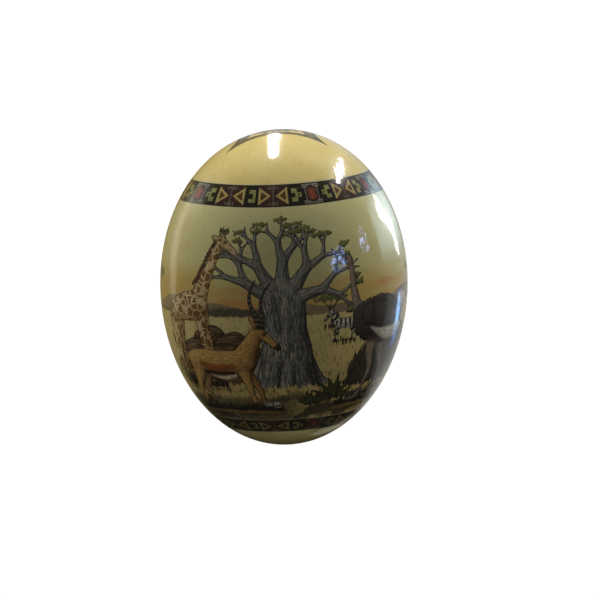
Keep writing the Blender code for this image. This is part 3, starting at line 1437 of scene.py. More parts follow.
@dataclass(frozen=True)
class Plain:
    """The sky, the hills and the grassland of the picture. Turns are in radians, heights in millimetres."""

    high_sky: Rgb = (0.74, 0.68, 0.32)
    mid_sky: Rgb = (0.78, 0.71, 0.29)
    low_sky: Rgb = (0.72, 0.50, 0.13)
    glow: Rgb = (0.74, 0.34, 0.09)
    wisp: Rgb = (0.85, 0.80, 0.48)
    far_hill: Rgb = (0.26, 0.19, 0.12)
    near_hill: Rgb = (0.12, 0.09, 0.045)
    grass: Rgb = (0.86, 0.69, 0.26)
    low_grass: Rgb = (0.66, 0.48, 0.16)
    soil: Rgb = (0.046, 0.038, 0.022)
    horizon: float = -5.5
    soft: float = 0.5

    def colour(self, b: Bench, place: Wire, turn: Wire, height: Wire) -> Wire:
        """Paints the picture's ground.

        Args:
            b: the bench of the material's tree.
            place: millimetres from the egg's middle along the paper's axes.
            turn: the azimuth in radians.
            height: millimetres above the belly along the paper's axis.

        Returns:
            The colour.
        """
        tufts = (b.noise(place, 0.55, 3.0) - 0.5) * 4.5
        behind = self.hills(b, self.sky(b, place, turn, height), turn, height, tufts)
        ground = self.grassland(b, turn, height)
        return b.lay(behind, height - self.horizon + tufts * 0.5, self.soft, ground)

    def sky(self, b: Bench, place: Wire, turn: Wire, height: Wire) -> Wire:
        """The evening sky, with the glow over the horizon and thin clouds.

        Args:
            b: the bench of the material's tree.
            place: millimetres from the egg's middle along the paper's axes.
            turn: the azimuth.
            height: the height above the belly.

        Returns:
            The colour.
        """
        drift = (b.noise(place, 0.03, 3.0) - 0.5) * 14.0
        level = (height + drift - b.rise(turn, -0.45, -0.95) * 7.0) / 60.0 + 0.2
        stops = ((0.18, self.low_sky), (0.27, self.low_sky), (0.44, self.mid_sky), (0.92, self.high_sky))
        smear = b.rise(b.streaks(turn, height, (2.2, 0.13), 2.0, 4.0, 0.6), 0.48, 0.64)
        glow = smear * b.rise(height, 16.0, 7.0) * 0.75
        wisp = b.rise(b.streaks(turn, height, (3.0, 0.20), 9.0, 4.0), 0.52, 0.75, 0.0, 0.25)
        return b.blend(wisp, b.blend(glow, b.ramp(level, stops), self.glow), self.wisp)

    def hills(self, b: Bench, under: Wire, turn: Wire, height: Wire, tufts: Wire) -> Wire:
        """Two ranges of hills, which dip behind the great tree.

        Args:
            b: the bench of the material's tree.
            under: the sky.
            turn: the azimuth.
            height: the height above the belly.
            tufts: how far bushes lift the near range's edge.

        Returns:
            The colour.
        """
        dip = b.rise(abs(turn - 0.55), 0.55, 0.25) * 5.5
        far_line = b.math("SINE", turn * 5.0) * 2.0 + b.math("SINE", turn * 11.0 + 1.0) - dip * 0.6
        near_line = b.math("SINE", turn * 3.0 + 2.0) * 1.6 + b.math("SINE", turn * 8.0) * 0.7 - dip
        colour = b.lay(under, height - far_line - 1.0, 0.4, self.far_hill, 0.85)
        return b.lay(colour, height - near_line + 2.5 + tufts, self.soft, self.near_hill)

    def grassland(self, b: Bench, turn: Wire, height: Wire) -> Wire:
        """Dry grass, with more and more bare soil towards the viewer.

        Args:
            b: the bench of the material's tree.
            turn: the azimuth.
            height: the height above the belly.

        Returns:
            The colour.
        """
        blades = b.streaks(turn, height, (60.0, 0.26), 4.0, 3.0)
        swell = b.streaks(turn, height, (2.6, 0.10), 1.0, 4.0) + (blades - 0.5) * 0.22
        colour = b.blend(b.rise(height, -10.0, -56.0), self.grass, self.low_grass)
        for bare in (
            b.rise(blades, 0.52, 0.66) * b.rise(height, -8.0, -44.0, 0.30, 0.80),
            b.rise(swell, 0.48, 0.58) * b.rise(height, -38.0, -52.0, 0.10, 0.92),
            b.rise(height, -45.5, -49.5) * b.rise(turn, 0.35, -0.10) * 0.78,
        ):
            colour = b.blend(bare, colour, self.soil)
        return colour


@dataclass(frozen=True)
class Medallion:
    """A four-cornered medallion with hollow sides, printed round the blunt tip."""

    side: float = 16.0
    hollow: float = 0.0115
    above: float = 58.6
    stretch: Spot = (1.14, 0.64)
    frame: float = 4.5
    rope_turns: float = 64.0
    petals: int = 12
    line: Rgb = (0.045, 0.040, 0.024)
    fill: Rgb = (0.20, 0.18, 0.10)
    soft: float = 0.15

    def colour(self, b: Bench, under: Wire, x: Wire, z: Wire, turn: Wire, height: Wire) -> Wire:
        """Lays the medallion over the cream paper.

        Args:
            b: the bench of the material's tree.
            under: the colour under it.
            x: millimetres to the right of the axis.
            z: millimetres in front of the axis.
            turn: the azimuth in radians.
            height: millimetres above the belly.

        Returns:
            The colour.
        """
        crown = b.rise(height, self.above, self.above + 0.5)
        across, ahead = abs(x) / self.stretch[0], abs(z) / self.stretch[1]
        wide, short = across.most(ahead), across.least(ahead)
        inside = wide - short * short * self.hollow - self.side
        rope = b.rise(b.math("SINE", turn * self.rope_turns + inside * 1.6), 0.1, 0.7) * 0.7
        heart = inside + self.frame
        petal = wide + short * 0.3 - abs(b.math("SINE", turn * (self.petals / 2))) * 5.0 - 6.0
        colour = under
        for shape, share, ink in (
            (inside, crown, self.fill),
            (inside, crown * rope, self.line),
            (heart, crown, under),
            (petal, crown, self.fill),
            (abs(inside) - 0.70, crown, self.line),
            (abs(heart) - 0.45, crown, self.line),
            (abs(petal) - 0.35, crown, self.line),
        ):
            colour = b.blend(b.within(shape, self.soft) * share, colour, ink)
        return colour


@dataclass(frozen=True)
class Varnish:
    """The clear gloss varnish over softly shining paper, with slow waves, fine pebbles and pores.

    Scales are in waves or cells to a millimetre. The shell is more pebbled from the upper band to the
    blunt tip, which sets in between the two heights of the cap. The depth of the relief is in metres.
    """

    roughness: float = 0.04
    index: float = 1.5
    under_roughness: float = 0.28
    under_level: float = 0.17
    depth: float = 0.00012
    wave: float = 0.10
    ripple: float = 0.36
    ripple_share: float = 0.36
    pebble: float = 0.66
    pebble_share: float = 0.18
    cap: Spot = (47.0, 54.0)
    cap_pebble: float = 0.60
    cap_share: float = 0.42
    pore: Rgb = (0.30, 0.21, 0.07)
    pore_scale: float = 0.30
    pore_depth: float = 0.1
    pore_share: float = 0.55
    stain: Rgb = (0.80, 0.55, 0.35)
    stain_scale: float = 0.40
    stain_share: float = 0.22

    def finish(self, b: Bench, shader: bpy.types.Node, colour: Wire, place: Wire) -> None:
        """Finishes the print with the shell's pores and waves and the varnish's gloss.

        Args:
            b: the bench of the material's tree.
            shader: the material's shader.
            colour: the print's colour.
            place: millimetres from the egg's middle along the paper's axes.
        """
        _, height, _ = b.parts(place)
        kind, _, _ = b.parts(b.cells(place, self.pore_scale, "F1", "Color"))
        pores = b.rise(b.cells(place, self.pore_scale, "F1"), 0.14, 0.03) * b.rise(kind, 0.45, 0.9)
        stains = b.rise(b.noise(place, self.stain_scale, 3.0), 0.54, 0.72) * self.stain_share
        colour = b.blend(stains, colour, self.stain, "MULTIPLY")
        smears = b.noise(place, 0.05, 3.0)
        waves = b.noise(place, self.wave, 1.0) + b.noise(place, self.ripple, 0.0) * self.ripple_share
        pebbles = b.noise(place, self.pebble, 0.0) * self.pebble_share
        cap = b.noise(place, self.cap_pebble, 0.0) * b.rise(height, *self.cap, 0.0, self.cap_share)
        relief = waves + pebbles + cap - pores * self.pore_depth
        bump = b.read("Bump", {"Strength": 1.0, "Distance": self.depth, "Height": relief})
        coat_roughness = b.rise(smears, 0.3, 0.8, self.roughness * 0.7, self.roughness * 1.6)
        feeds = {
            "Base Color": b.blend(pores * self.pore_share, colour, self.pore),
            "Roughness": self.under_roughness,
            "Specular IOR Level": self.under_level,
            "Normal": bump,
            "Coat Weight": 1.0,
            "Coat Roughness": coat_roughness,
            "Coat IOR": self.index,
            "Coat Normal": bump,
        }
        b.feed_all(shader, feeds)


@dataclass(frozen=True)
class BandPlace:
    """Where a band is on the egg, in millimetres along the paper's axis, and how its pattern runs.

    The paper is three strips, so both edges swing up between the strips' middles. The start, the skew
    and the squeeze are in degrees of the pattern. The squeeze makes the figures narrower at the front.
    The last colour is a painted shade, which darkens the band's colours; only the lower band has one.
    """

    low: float
    high: float
    low_swing: float
    high_swing: float
    start: float
    stretch: float
    skew: float = 0.0
    squeeze: float = 0.0
    painted_shade: Rgb = WHITE

    def level(self, b: Bench, turn: Wire, height: Wire) -> Wire:
        """Where a point is across the band.

        Args:
            b: the bench of the material's tree.
            turn: the azimuth in radians.
            height: millimetres above the belly.

        Returns:
            The place, from -1 at the band's low edge to 1 at its high edge.
        """
        swing = 0.5 - b.math("COSINE", turn * 3.0) * 0.5
        middle = swing * ((self.low_swing + self.high_swing) / 2) + (self.low + self.high) / 2
        half = swing * ((self.high_swing - self.low_swing) / 2) + (self.high - self.low) / 2
        return (height - middle) / half

    def run(self, b: Bench, turn: Wire) -> Wire:
        """How far along the pattern a point is, in degrees of the upper band."""
        run = turn * (180 / math.pi * self.stretch) + self.start
        return run + (1.0 - b.math("COSINE", turn)) * self.skew + b.math("SINE", turn) * self.squeeze


UPPER_BAND = BandPlace(46.90, 57.10, 0.9, 0.45, start=57.65, stretch=1.0, skew=11.5)
# painted shade: the lower band's colours are darkened
LOWER_BAND = BandPlace(
    -67.45, -60.45, 0.0, 0.0, start=63.8, stretch=2.0 / 3.0, squeeze=5.0, painted_shade=(0.60, 0.53, 0.42)
)


@dataclass
class PaintedEgg:
    """The egg's fine mesh and its varnished print."""

    form: EggForm = field(default_factory=EggForm)
    wrap: Wrap = field(default_factory=Wrap)
    segments: int = 388
    front_density: float = 0.25
    fine_step: float = 0.66 * MM
    coarse_step: float = 2.0 * MM
    print_limits: Spot = (-0.88, 0.74)
    cream: Rgb = (0.82, 0.68, 0.27)
    aged: Rgb = (0.74, 0.57, 0.19)
    aged_share: float = 0.6
    # painted shade: the cream ends are darkened towards the pointed tip, between the two heights below in
    # millimetres
    tip_shade: Rgb = (0.60, 0.45, 0.15)
    tip_shade_heights: Spot = (-70.0, -77.0)
    rim_level: float = 1.12
    rim_share: float = 0.45
    soft_level: float = 0.02
    centre: Vector = field(default_factory=Vector)

    def outline(self) -> np.ndarray:
        """Stations of the mesh's rings, close together where the picture is.

        Returns:
            Stations from tip to tip.
        """
        stations, arcs = self.form.arc_table()
        low, high = np.interp(self.print_limits, stations, arcs)
        zones = (
            (arcs[0], low, self.coarse_step),
            (low, high, self.fine_step),
            (high, arcs[-1], self.coarse_step),
        )
        rings = [np.linspace(a, b, round((b - a) / step), endpoint=False) for a, b, step in zones]
        return np.interp(np.concatenate([*rings, [arcs[-1]]]), arcs, stations)

    def build(self) -> bpy.types.Object:
        """Builds the egg, draws its print and dresses it.

        Returns:
            The egg's object.
        """
        stations = self.outline()
        spun = bmesh.new()
        radii = self.form.radius_at(stations)
        profile = [spun.verts.new((r, s * self.form.length / 2, 0)) for s, r in zip(stations, radii)]
        edges = [spun.edges.new(pair) for pair in zip(profile, profile[1:])]
        bmesh.ops.spin(
            spun, geom=profile + edges, axis=(0, 1, 0), cent=(0, 0, 0), angle=2 * math.pi,
            steps=self.segments, use_merge=True,
        )
        bmesh.ops.remove_doubles(spun, verts=spun.verts, dist=0.01 * MM)
        bmesh.ops.recalc_face_normals(spun, faces=spun.faces)
        mesh = bpy.data.meshes.new("painted_egg")
        spun.to_mesh(mesh)
        spun.free()
        points = np.empty(len(mesh.vertices) * 3)
        mesh.vertices.foreach_get("co", points)
        points = self.crowd_front(points.reshape(-1, 3))
        self.print_on(mesh, points)
        self.lay_down(mesh, points)
        mesh.shade_smooth()
        egg = add_object("painted_egg", mesh)
        mesh.materials.append(self.material())
        return egg

    def crowd_front(self, points: np.ndarray) -> np.ndarray:
        """Turns the points about the axis so that they are closer together on the front.

        Args:
            points: the points along the egg's own axes.

        Returns:
            The turned points.
        """
        azimuth = np.arctan2(points[:, 0], points[:, 2])
        reach = np.hypot(points[:, 0], points[:, 2])
        azimuth -= self.front_density * np.sin(azimuth)
        return np.column_stack([reach * np.sin(azimuth), points[:, 1], reach * np.cos(azimuth)])

    def lay_down(self, mesh: bpy.types.Mesh, points: np.ndarray) -> None:
        """Leans the egg as it rests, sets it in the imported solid's box and flattens the spot of contact.

        Args:
            mesh: the egg's mesh.
            points: its points along the egg's own axes, in metres.
        """
        leaned = points @ np.array(Matrix.Rotation(self.form.lean(), 3, "X")).T
        low, high = leaned.min(0), leaned.max(0)
        low[2] += self.form.flat_depth
        box_low, box_high = (np.array(corner) for corner in CAD_BOUNDS)
        self.centre = Vector(((box_low + box_high) / 2)[:2].tolist() + [-low[2]])
        fitted = box_low + (leaned - low) * (box_high - box_low) / (high - low)
        fitted[:, 2] = np.maximum(fitted[:, 2], box_low[2])
        mesh.vertices.foreach_set("co", fitted.astype(np.float32).ravel())
        mesh.update()

    def print_on(self, mesh: bpy.types.Mesh, points: np.ndarray) -> None:
        """Draws the sheets of motifs and stores them on the mesh.

        Args:
            mesh: the egg's mesh.
            points: its points along the egg's own axes, in metres.
        """
        paper = points @ np.array(self.wrap.turn()) / MM
        stations, arcs = self.form.arc_table()
        arc = np.interp(paper[:, 1] * MM / (self.form.length / 2), stations, arcs) / MM
        azimuth = np.arctan2(paper[:, 0], paper[:, 2])
        reach = np.hypot(paper[:, 0], paper[:, 2])
        for name, motifs in (("far", far_motifs()), ("middle", middle_motifs()), ("near", near_motifs())):
            sheet = Sheet(azimuth, arc, reach)
            for motif in motifs:
                motif.draw(sheet)
            sheet.store(mesh, name)
            LOG.info("sheet %s: %d points drawn", name, int((sheet.layers["edge"] > 0).sum()))

    def material(self) -> bpy.types.Material:
        """The print under its varnish.

        Returns:
            The material.
        """
        made = bpy.data.materials.new("varnished_print")
        made.use_nodes = True
        tree = made.node_tree
        tree.nodes.clear()
        b = Bench(tree)
        shader = b.node("BsdfPrincipled")
        b.feed(b.node("OutputMaterial").inputs["Surface"], shader.outputs[0])
        turned = Matrix.Rotation(self.form.lean(), 3, "X") @ self.wrap.turn()
        feeds = {
            "Vector": b.read("TexCoord", {}, "Object"),
            "Location": self.centre,
            "Rotation": turned.to_euler(),
            "Scale": (MM, MM, MM),
        }
        place = b.read("Mapping", feeds, vector_type="TEXTURE")
        x, height, z = b.parts(place)
        turn = b.math("ARCTAN2", x, z)
        colour = Plain().colour(b, place, turn, height)
        sheet = DrawnSheet().recipe()
        for name in ("far", "middle", "near"):
            drawn = {part: b.attribute(f"{name}_{part.lower()}") for part in ("Paint", "Form", "Grain")}
            colour = b.group(sheet, Under=colour, **drawn, Place=place)
        colour = self.bands(b, colour, place, turn, height)
        colour = Medallion().colour(b, colour, x, z, turn, height)
        Varnish().finish(b, shader, colour, place)
        return made

    def bands(self, b: Bench, under: Wire, place: Wire, turn: Wire, height: Wire) -> Wire:
        """Lays both patterned bands and the plain cream ends over the picture.

        Args:
            b: the bench of the material's tree.
            under: the picture's colour.
            place: millimetres from the egg's middle along the paper's axes.
            turn: the azimuth in radians.
            height: millimetres above the belly.

        Returns:
            The colour.
        """
        band = PatternedBand()
        tree = band.recipe()
        mottle = b.noise(place, 0.06, 4.0)
        cream = b.blend(b.rise(mottle, 0.35, 0.7) * self.aged_share, self.cream, self.aged)
        # painted shade: the cream darkens towards the pointed tip
        cream = b.blend(b.rise(height, *self.tip_shade_heights), cream, self.tip_shade)
        colour = under
        for at, outward in ((UPPER_BAND, 1.0), (LOWER_BAND, -1.0)):
            level = at.level(b, turn, height)
            woven = b.group(tree, Run=at.run(b, turn), Height=level, Place=place)
            # painted shade: the band's colours are multiplied by a darker colour
            woven = b.blend(1.0, woven, at.painted_shade, "MULTIPLY")
            colour = b.blend(b.rise(level * outward, 1.0, 1.05), colour, cream)
            colour = b.lay(colour, abs(level) - self.rim_level, self.soft_level, band.pale, self.rim_share)
            colour = b.lay(colour, abs(level) - 1.0, self.soft_level, woven)
        return colour


# --- The layout of the picture ---


SHADOW = Paint.of("2a2417", "0f0c07", Grain.GRASS)
STRAW = Paint.of("b8924a", "4a3818", Grain.GRASS)
SCRUB = Paint.of("8a6a44", "241a10", Grain.GRASS)
DARK_SCRUB = Paint.of("55503c", "15140f", Grain.GRASS)


def ground_shadow(wide: float) -> list[Limb]:
    """The dark grass under an animal, on both sides of its origin."""
    return [SHADOW.limb((-wide, -0.2, 1.8), (0, -0.6, 3), (wide, -0.2, 1.8), ragged=2.6, ink=0, flat=0.8)]


def tussock(wide: float) -> list[Limb]:
    """Grass that hides what stands behind it."""
    return [STRAW.limb((-wide, -3, 0.9), (0, -2.6, 1.3), (wide, -3, 0.9), ragged=2.4, ink=0, flat=0.4)]


@dataclass(frozen=True)
class Standing:
    """A motif's place: the azimuth in degrees, the arc above the belly in millimetres, and its size.

    Wide is how far the dark grass and the tussock at its foot reach to either side. At 0 it has neither.
    """

    limbs: Sequence[Limb]
    azimuth: float
    arc: float
    scale: float = 1.0
    flip: bool = False
    wide: float = 20.0

    def draw(self, sheet: Sheet) -> None:
        """Draws it with its foot behind blades of grass.

        Args:
            sheet: the sheet that takes it.
        """
        at = (self.azimuth, self.arc, self.scale, self.flip)
        if self.wide:
            sheet.draw(ground_shadow(self.wide), *at)
        sheet.draw(self.limbs, *at, rooted=True)
        if self.wide:
            sheet.draw(tussock(self.wide), *at)


def far_motifs() -> list[Standing]:
    """The trees, the rocks and the scrub in the distance.

    Returns:
        The motifs, from the farthest to the nearest.
    """
    trees = (
        (-86, -8, 0.62),
        (22, -12, 0.42),
        (88, -9, 0.56),
        (136, -8, 0.60),
        (150, -9, 0.50),
        (-118, -7, 0.60),
        (-150, -9, 0.45),
    )
    bushes = (
        (61, -47, 15, 34, DARK_SCRUB, 7),
        (92, -40, 12, 16, SCRUB, 2),
        (-168, -28, 16, 14, SCRUB, 4),
        (-96, -30, 12, 12, SCRUB, 8),
    )
    made = [Standing(acacia(), azimuth, arc, scale, wide=6) for azimuth, arc, scale in trees]
    made += [
        Standing(thicket(seed, wide, high, paint), azimuth, arc, wide=0)
        for azimuth, arc, wide, high, paint, seed in bushes
    ]
    rocks = [Standing(kopje(), -36, -42, 0.98, wide=0), Standing(kopje(), 128, -24, 0.6, True, wide=0)]
    return made + rocks


def middle_motifs() -> list[Standing]:
    """The great trees, and the animals between the foreground and the distance.

    Returns:
        The motifs, from the farthest to the nearest.
    """
    return [
        Standing(zebra(), 29, -20, 0.34, True, 18),
        Standing(Baobab().limbs(), 0, -44, 0.96, False, 0),
        Standing(giraffe(), -50, -42, 0.90, False, 16),
        Standing(acacia(), 126, -28, 1.6, False, 8),
        Standing(rhino(), 146, -34, 0.9, True, 20),
        Standing(giraffe(), -128, -38, 0.86, True, 16),
        Standing(Baobab(seed=9).limbs(), 176, -38, 0.95, False, 0),
    ]


def near_motifs() -> list[Standing]:
    """The animals and the plants of the foreground.

    Returns:
        The motifs, from the farthest to the nearest.
    """
    return [
        Standing(thicket(11, 20, 5, DARK_SCRUB), -30, -59, wide=0),
        Standing(thicket(12, 20, 8, DARK_SCRUB), 62, -56, wide=0),
        Standing(antelope(), -34, -57, 1.04, False, 22),
        Standing(ostrich(), 50, -56, 1.28, True, 12),
        Standing(aloe(1), 27, -54, 1.1, wide=0),
        Standing(aloe(2), 14, -56, 0.7, wide=0),
        Standing(zebra(), 112, -58, 0.95, False, 22),
        Standing(rhino(), -152, -58, 1.15, False, 24),
        Standing(antelope(), 160, -59, 0.85, True, 22),
        Standing(ostrich(), -104, -52, 0.95, False, 10),
    ]


# --- The studio ---


class Shine(Enum):
    """What a lamp does: it lights the egg's colours, or only shows as a reflection in the varnish."""

    LIGHT = "light"
    REFLECTION = "reflection"


@dataclass(frozen=True)
class Lamp:
    """A flat lamp that faces a point. Its radiance is in watts per steradian and square metre."""

    name: str
    place: Point
    aim: Point
    size: Spot
    radiance: float
    shine: Shine
    colour: Rgb = WHITE
    shape: str = "RECTANGLE"
    turned: float = 0.0

    def build(self) -> bpy.types.Object:
        """Hangs the lamp.

        Returns:
            The lamp's object.
        """
        data = bpy.data.lights.new(self.name, "AREA")
        data.shape = self.shape
        data.size, data.size_y = self.size
        data.energy = self.radiance * math.pi * self.size[0] * self.size[1]
        data.color = self.colour
        lamp = add_object(self.name, data)
        lamp.location = self.place
        facing = (Vector(self.aim) - Vector(self.place)).to_track_quat("-Z", "Y")
        roll = Quaternion((0, 0, 1), math.radians(self.turned))
        lamp.rotation_euler = (facing @ roll).to_euler()
        lamp.visible_camera = False
        lamp.visible_diffuse = self.shine is Shine.LIGHT
        lamp.visible_glossy = self.shine is Shine.REFLECTION
        return lamp


@dataclass(frozen=True)
class Pool:
    """A soft-edged pool of light on the floor, which only shows in the varnish.

    It is a rounded bar from one point of the floor to another, with a half width at each.
    """

    start: Spot
    end: Spot
    widths: Spot
    soft: float
    light: Rgb


@dataclass(frozen=True)
class FarWindow:
    """A bright window of the room in the distance: its direction, half size in degrees and light.

    A broken window is round, and leaves in front of it hide parts of it.
    """

    toward: Point
    half: Spot
    light: Rgb
    broken: float = 0.0


@dataclass(frozen=True)
class Studio:
    """The pale floor, the soft light, and what of the room shows in the varnish."""

    floor_size: float = 6.0
    floor_colour: Rgb = (0.82, 0.82, 0.81)
    floor_glow: float = 0.90
    floor_left: Rgb = (0.24, 0.19, 0.08)
    floor_right: Rgb = (0.42, 0.42, 0.39)
    floor_low: Rgb = (0.02, 0.018, 0.012)
    sky_seen: float = 0.95
    sky_light: float = 0.13
    room_seen: Rgb = (0.13, 0.125, 0.11)
    room_low: Rgb = (0.045, 0.040, 0.028)

    def lamps(self) -> list[Lamp]:
        """Lists the soft lamps, and the near windows that only the varnish shows.

        Returns:
            The lamps.
        """
        light, shown = Shine.LIGHT, Shine.REFLECTION
        warm = (1, 0.97, 0.91)
        column, blade = (0.0086, 0.0545), (0.0128, 0.056)
        return [
            Lamp("crown_light", (0, 0.34, 0.035), (0, 0.06, 0.07), (0.62, 0.06), 9.5, light, warm),
            Lamp("left_light", (-0.34, 0.06, 0.04), (0, 0, 0.07), (0.25, 0.06), 3.0, light),
            Lamp("right_light", (0.34, 0.06, 0.04), (0, 0, 0.07), (0.25, 0.06), 3.0, light),
            Lamp(
                "crown_window", (-0.0083, 0.103, 0.0606), (-0.0083, 0, 0.0606), column, 22, shown,
                turned=-2.1,
            ),
            Lamp(
                "shoulder_window", (0.0818, 0.127, 0.0655), (0.033, 0.0684, 0.1055), blade, 24, shown,
                shape="ELLIPSE", turned=8.0,
            ),
            Lamp(
                "shoulder_sill", (0.0786, 0.1298, 0.029), (0.030, 0.0713, 0.086), (0.0045, 0.026), 24, shown
            ),
        ]

    def pools(self) -> list[Pool]:
        """Lists the pools of light on the floor.

        Returns:
            The pools.
        """
        cool = (9.5, 10.0, 10.0)
        return [
            Pool((0.136, 0.084), (0.180, 0.089), (0.011, 0.010), 0.003, cool),
            Pool((0.130, 0.053), (0.176, 0.085), (0.011, 0.011), 0.003, cool),
            Pool((0.127, 0.050), (0.127, 0.024), (0.011, 0.005), 0.004, cool),
            Pool((0.115, 0.062), (0.330, 0.110), (0.032, 0.070), 0.035, (1.7, 2.2, 2.55)),
            Pool((-0.138, 0.090), (-0.190, -0.008), (0.028, 0.030), 0.026, (1.0, 0.90, 0.66)),
            Pool((0.139, -0.024), (0.134, -0.034), (0.009, 0.011), 0.007, (1.9, 3.1, 4.9)),
            Pool((0.134, -0.032), (0.124, -0.050), (0.018, 0.013), 0.012, (0.6, 0.95, 1.5)),
            Pool((0.400, 0.102), (0.402, 0.104), (0.040, 0.040), 0.030, (0.9, 1.1, 1.7)),
            Pool((-0.020, 0.085), (0.050, 0.088), (0.014, 0.018), 0.016, (0.50, 0.54, 0.56)),
            Pool((-0.150, 0.100), (-0.275, 0.180), (0.028, 0.045), 0.030, (0.80, 0.76, 0.64)),
            Pool((0.050, -0.108), (0.044, -0.155), (0.010, 0.011), 0.008, (0.36, 0.35, 0.26)),
            Pool((0.040, -0.205), (-0.005, -0.250), (0.016, 0.020), 0.016, (0.24, 0.22, 0.11)),
        ]

    def far_windows(self) -> list[FarWindow]:
        """Lists the windows in the distance.

        Returns:
            The windows.
        """
        return [
            FarWindow((0.784, 0.188, 0.592), (6.4, 8.8), (4.4, 6.6, 14.0), 1.0),
            FarWindow((0.961, 0.275, 0.020), (6.0, 8.4), (5.6, 7.0, 13.0), 1.0),
            FarWindow((-0.198, -0.967, 0.155), (2.4, 1.4), (0.70, 0.70, 0.66)),
            FarWindow((-0.090, -0.979, 0.187), (2.3, 1.4), (0.90, 0.90, 0.84)),
        ]

    def build(self) -> None:
        """Lays the floor, hangs the lamps and sets the light of the room."""
        slab = bmesh.new()
        bmesh.ops.create_grid(slab, x_segments=1, y_segments=1, size=self.floor_size / 2)
        mesh = bpy.data.meshes.new("floor")
        slab.to_mesh(mesh)
        slab.free()
        floor = add_object("floor", mesh)
        mesh.materials.append(self.floor_material())
        for lamp in self.lamps():
            lamp.build()
        bpy.context.scene.world = self.room()
        bpy.context.scene.view_settings.view_transform = "Standard"

    def window_recipe(self) -> bpy.types.NodeTree:
        """The node group of a distant window.

        Returns:
            The group, which gives how much of the window shows in a direction. Right and Up are as long
            as one over its half size.
        """
        takes = {**dict.fromkeys(("Direction", "Toward", "Right", "Up"), "Vector"), "Broken": "Float"}
        made = Recipe("far_window", takes, ("Share", "Float"))
        b = made.bench
        ahead = b.dot(made.input("Direction"), made.input("Toward"))
        x = b.dot(made.input("Direction"), made.input("Right")) / ahead
        y = b.dot(made.input("Direction"), made.input("Up")) / ahead
        frame_edge = b.rise(abs(x).most(abs(y)), 1.1, 0.8) * b.rise(ahead, 0.2, 0.3)
        round_edge = b.rise(b.math("SQRT", x * x + y * y), 1.15, 0.75)
        leaves = b.rise(b.cells(b.vector(x * 2.2, y * 2.6, 1.5), 1.0, "F1"), 0.50, 0.30, 0.08)
        gaps = b.blend(made.input("Broken"), WHITE, leaves * round_edge)
        return made.finish(frame_edge * gaps)

    def room(self) -> bpy.types.World:
        """Makes the room's even light, and the dim room with its windows that the varnish reflects.

        Returns:
            The world.
        """
        world = bpy.data.worlds.new("studio")
        world.use_nodes = True
        b = Bench(world.node_tree)
        background = world.node_tree.nodes["Background"]
        direction = b.read("TexCoord", {}, "Generated")
        tree = self.window_recipe()
        _, north, _ = b.parts(direction)
        shown = b.blend(b.rise(north, -0.15, -0.55), self.room_seen, self.room_low)
        for window in self.far_windows():
            toward = Vector(window.toward).normalized()
            right = toward.cross(Vector((0, 0, 1))).normalized()
            up = right.cross(toward)
            wide, high = (math.tan(math.radians(half)) for half in window.half)
            share = b.group(
                tree, Direction=direction, Toward=toward, Right=right / wide, Up=up / high,
                Broken=window.broken,
            )
            shown = b.blend(share, shown, window.light)
        rays = b.node("LightPath").outputs
        plain = Wire(b, rays["Is Camera Ray"]) * (self.sky_seen - self.sky_light) + self.sky_light
        b.feed(background.inputs["Color"], b.blend(rays["Is Glossy Ray"], b.grey(plain), shown))
        return world

    def pool_recipe(self) -> bpy.types.NodeTree:
        """The node group of a pool of light.

        Returns:
            The group, which gives how much of the pool is at a place.
        """
        takes = {
            **dict.fromkeys(("Place", "Start", "Run"), "Vector"),
            **dict.fromkeys(("Wide", "Growth", "Soft"), "Float"),
        }
        made = Recipe("floor_pool", takes, ("Share", "Float"))
        b = made.bench
        run = made.input("Run")
        away = b.minus(made.input("Place"), made.input("Start"))
        along = b.math("DIVIDE", b.dot(away, run), b.dot(run, run), clamp=True)
        off = b.length(b.minus(away, b.times(run, along)))
        edge = off - (made.input("Wide") + made.input("Growth") * along)
        return made.finish(b.rise(edge, made.input("Soft"), -made.input("Soft")))

    def floor_in_varnish(self, b: Bench) -> Wire:
        """What the varnish shows of the floor.

        It is ochre at the left and pale at the right, and dark beside the egg's lower half and beyond its
        pointed end. The pools lie on it.

        Args:
            b: the bench of the floor's material.

        Returns:
            The light's colour.
        """
        place = b.read("TexCoord", {}, "Object")
        x, y, _ = b.parts(place)
        far_off = b.length(place)
        shown = b.blend(b.rise(x, -0.05, 0.09), self.floor_left, self.floor_right)
        for share, colour in (
            (b.rise(y + x.most(0.0) * 0.22, -0.06, -0.10), self.floor_low),
            (b.rise(far_off, 0.25, 0.7), self.room_seen),
            (b.rise(far_off, 0.22, 0.34) * b.rise(y, 0.02, -0.04), self.room_seen),
            (b.rise(y, -0.12, -0.30), self.room_low),
        ):
            shown = b.blend(share, shown, colour)
        tree = self.pool_recipe()
        for pool in self.pools():
            share = b.group(
                tree,
                Place=place,
                Start=(*pool.start, 0.0),
                Run=(pool.end[0] - pool.start[0], pool.end[1] - pool.start[1], 0.0),
                Wide=pool.widths[0],
                Growth=pool.widths[1] - pool.widths[0],
                Soft=pool.soft,
            )
            shown = b.blend(1.0, shown, b.blend(share, BLACK, pool.light), "LIGHTEN")
        return shown

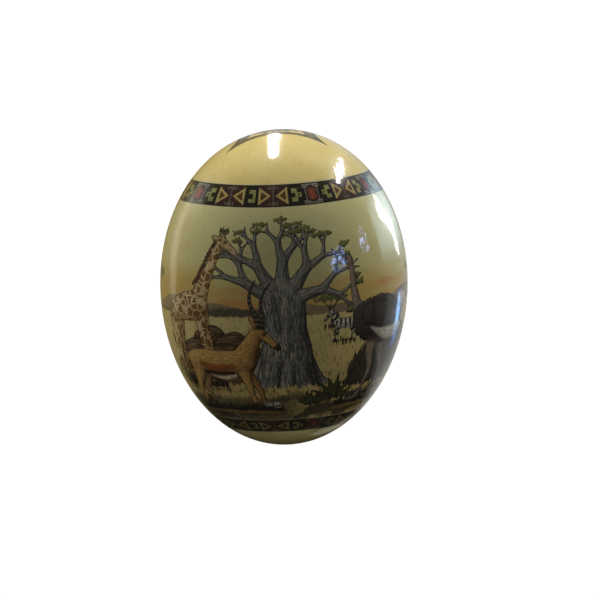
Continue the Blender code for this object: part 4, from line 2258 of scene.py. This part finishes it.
    def floor_material(self) -> bpy.types.Material:
        """Makes a pale, matt floor, nearly white where the camera sees it.

        Returns:
            The material.
        """
        made = bpy.data.materials.new("pale_floor")
        made.use_nodes = True
        b = Bench(made.node_tree)
        shader = made.node_tree.nodes["Principled BSDF"]
        rays = b.node("LightPath").outputs
        glossy = rays["Is Glossy Ray"]
        seen = b.grey(Wire(b, rays["Is Camera Ray"]) * self.floor_glow)
        feeds = {
            "Roughness": 0.9,
            "Specular IOR Level": 0.0,
            "Base Color": b.blend(glossy, self.floor_colour, BLACK),
            "Emission Color": b.blend(glossy, seen, self.floor_in_varnish(b)),
            "Emission Strength": 1.0,
        }
        b.feed_all(shader, feeds)
        return made


@dataclass(frozen=True)
class Viewpoint:
    """The camera, which sees the egg at the photograph's angle, size and place. Its distance is a guess."""

    distance: float = 2.0
    elevation: float = math.radians(8.5)
    view_width: float = 0.3007
    sensor: float = 36.0
    picture_side: float = 600.0
    egg_at: Spot = (283.97, 287.15)

    def build(self, form: EggForm, centre: Vector) -> bpy.types.Object:
        """Sets up the camera.

        Args:
            form: the egg's form.
            centre: the egg's middle.

        Returns:
            The camera's object.
        """
        pitch = form.lean() + math.pi / 2 - self.elevation
        back = Vector((0, math.cos(pitch), math.sin(pitch)))
        right = Vector((1, 0, 0))
        up = back.cross(right)
        pixel = self.view_width / self.picture_side
        half = self.picture_side / 2
        shift = right * (half - self.egg_at[0]) * pixel - up * (half - self.egg_at[1]) * pixel
        data = bpy.data.cameras.new("camera")
        data.sensor_width = self.sensor
        data.lens = self.sensor * self.distance / self.view_width
        camera = add_object("camera", data)
        camera.location = centre + back * self.distance + shift
        camera.rotation_euler = Matrix((right, up, back)).transposed().to_euler()
        bpy.context.scene.camera = camera
        return camera


def main() -> None:
    """Builds the egg, the studio and the camera, and joins the egg to the frame."""
    logging.basicConfig(level=logging.INFO, format="%(message)s")
    egg = PaintedEgg()
    piece = egg.build()
    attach(piece, "root")
    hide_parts("egg")
    LOG.info("painted_egg: %d points, %d faces", len(piece.data.vertices), len(piece.data.polygons))
    Studio().build()
    Viewpoint().build(egg.form, egg.centre)


if __name__ == "__main__":
    main()
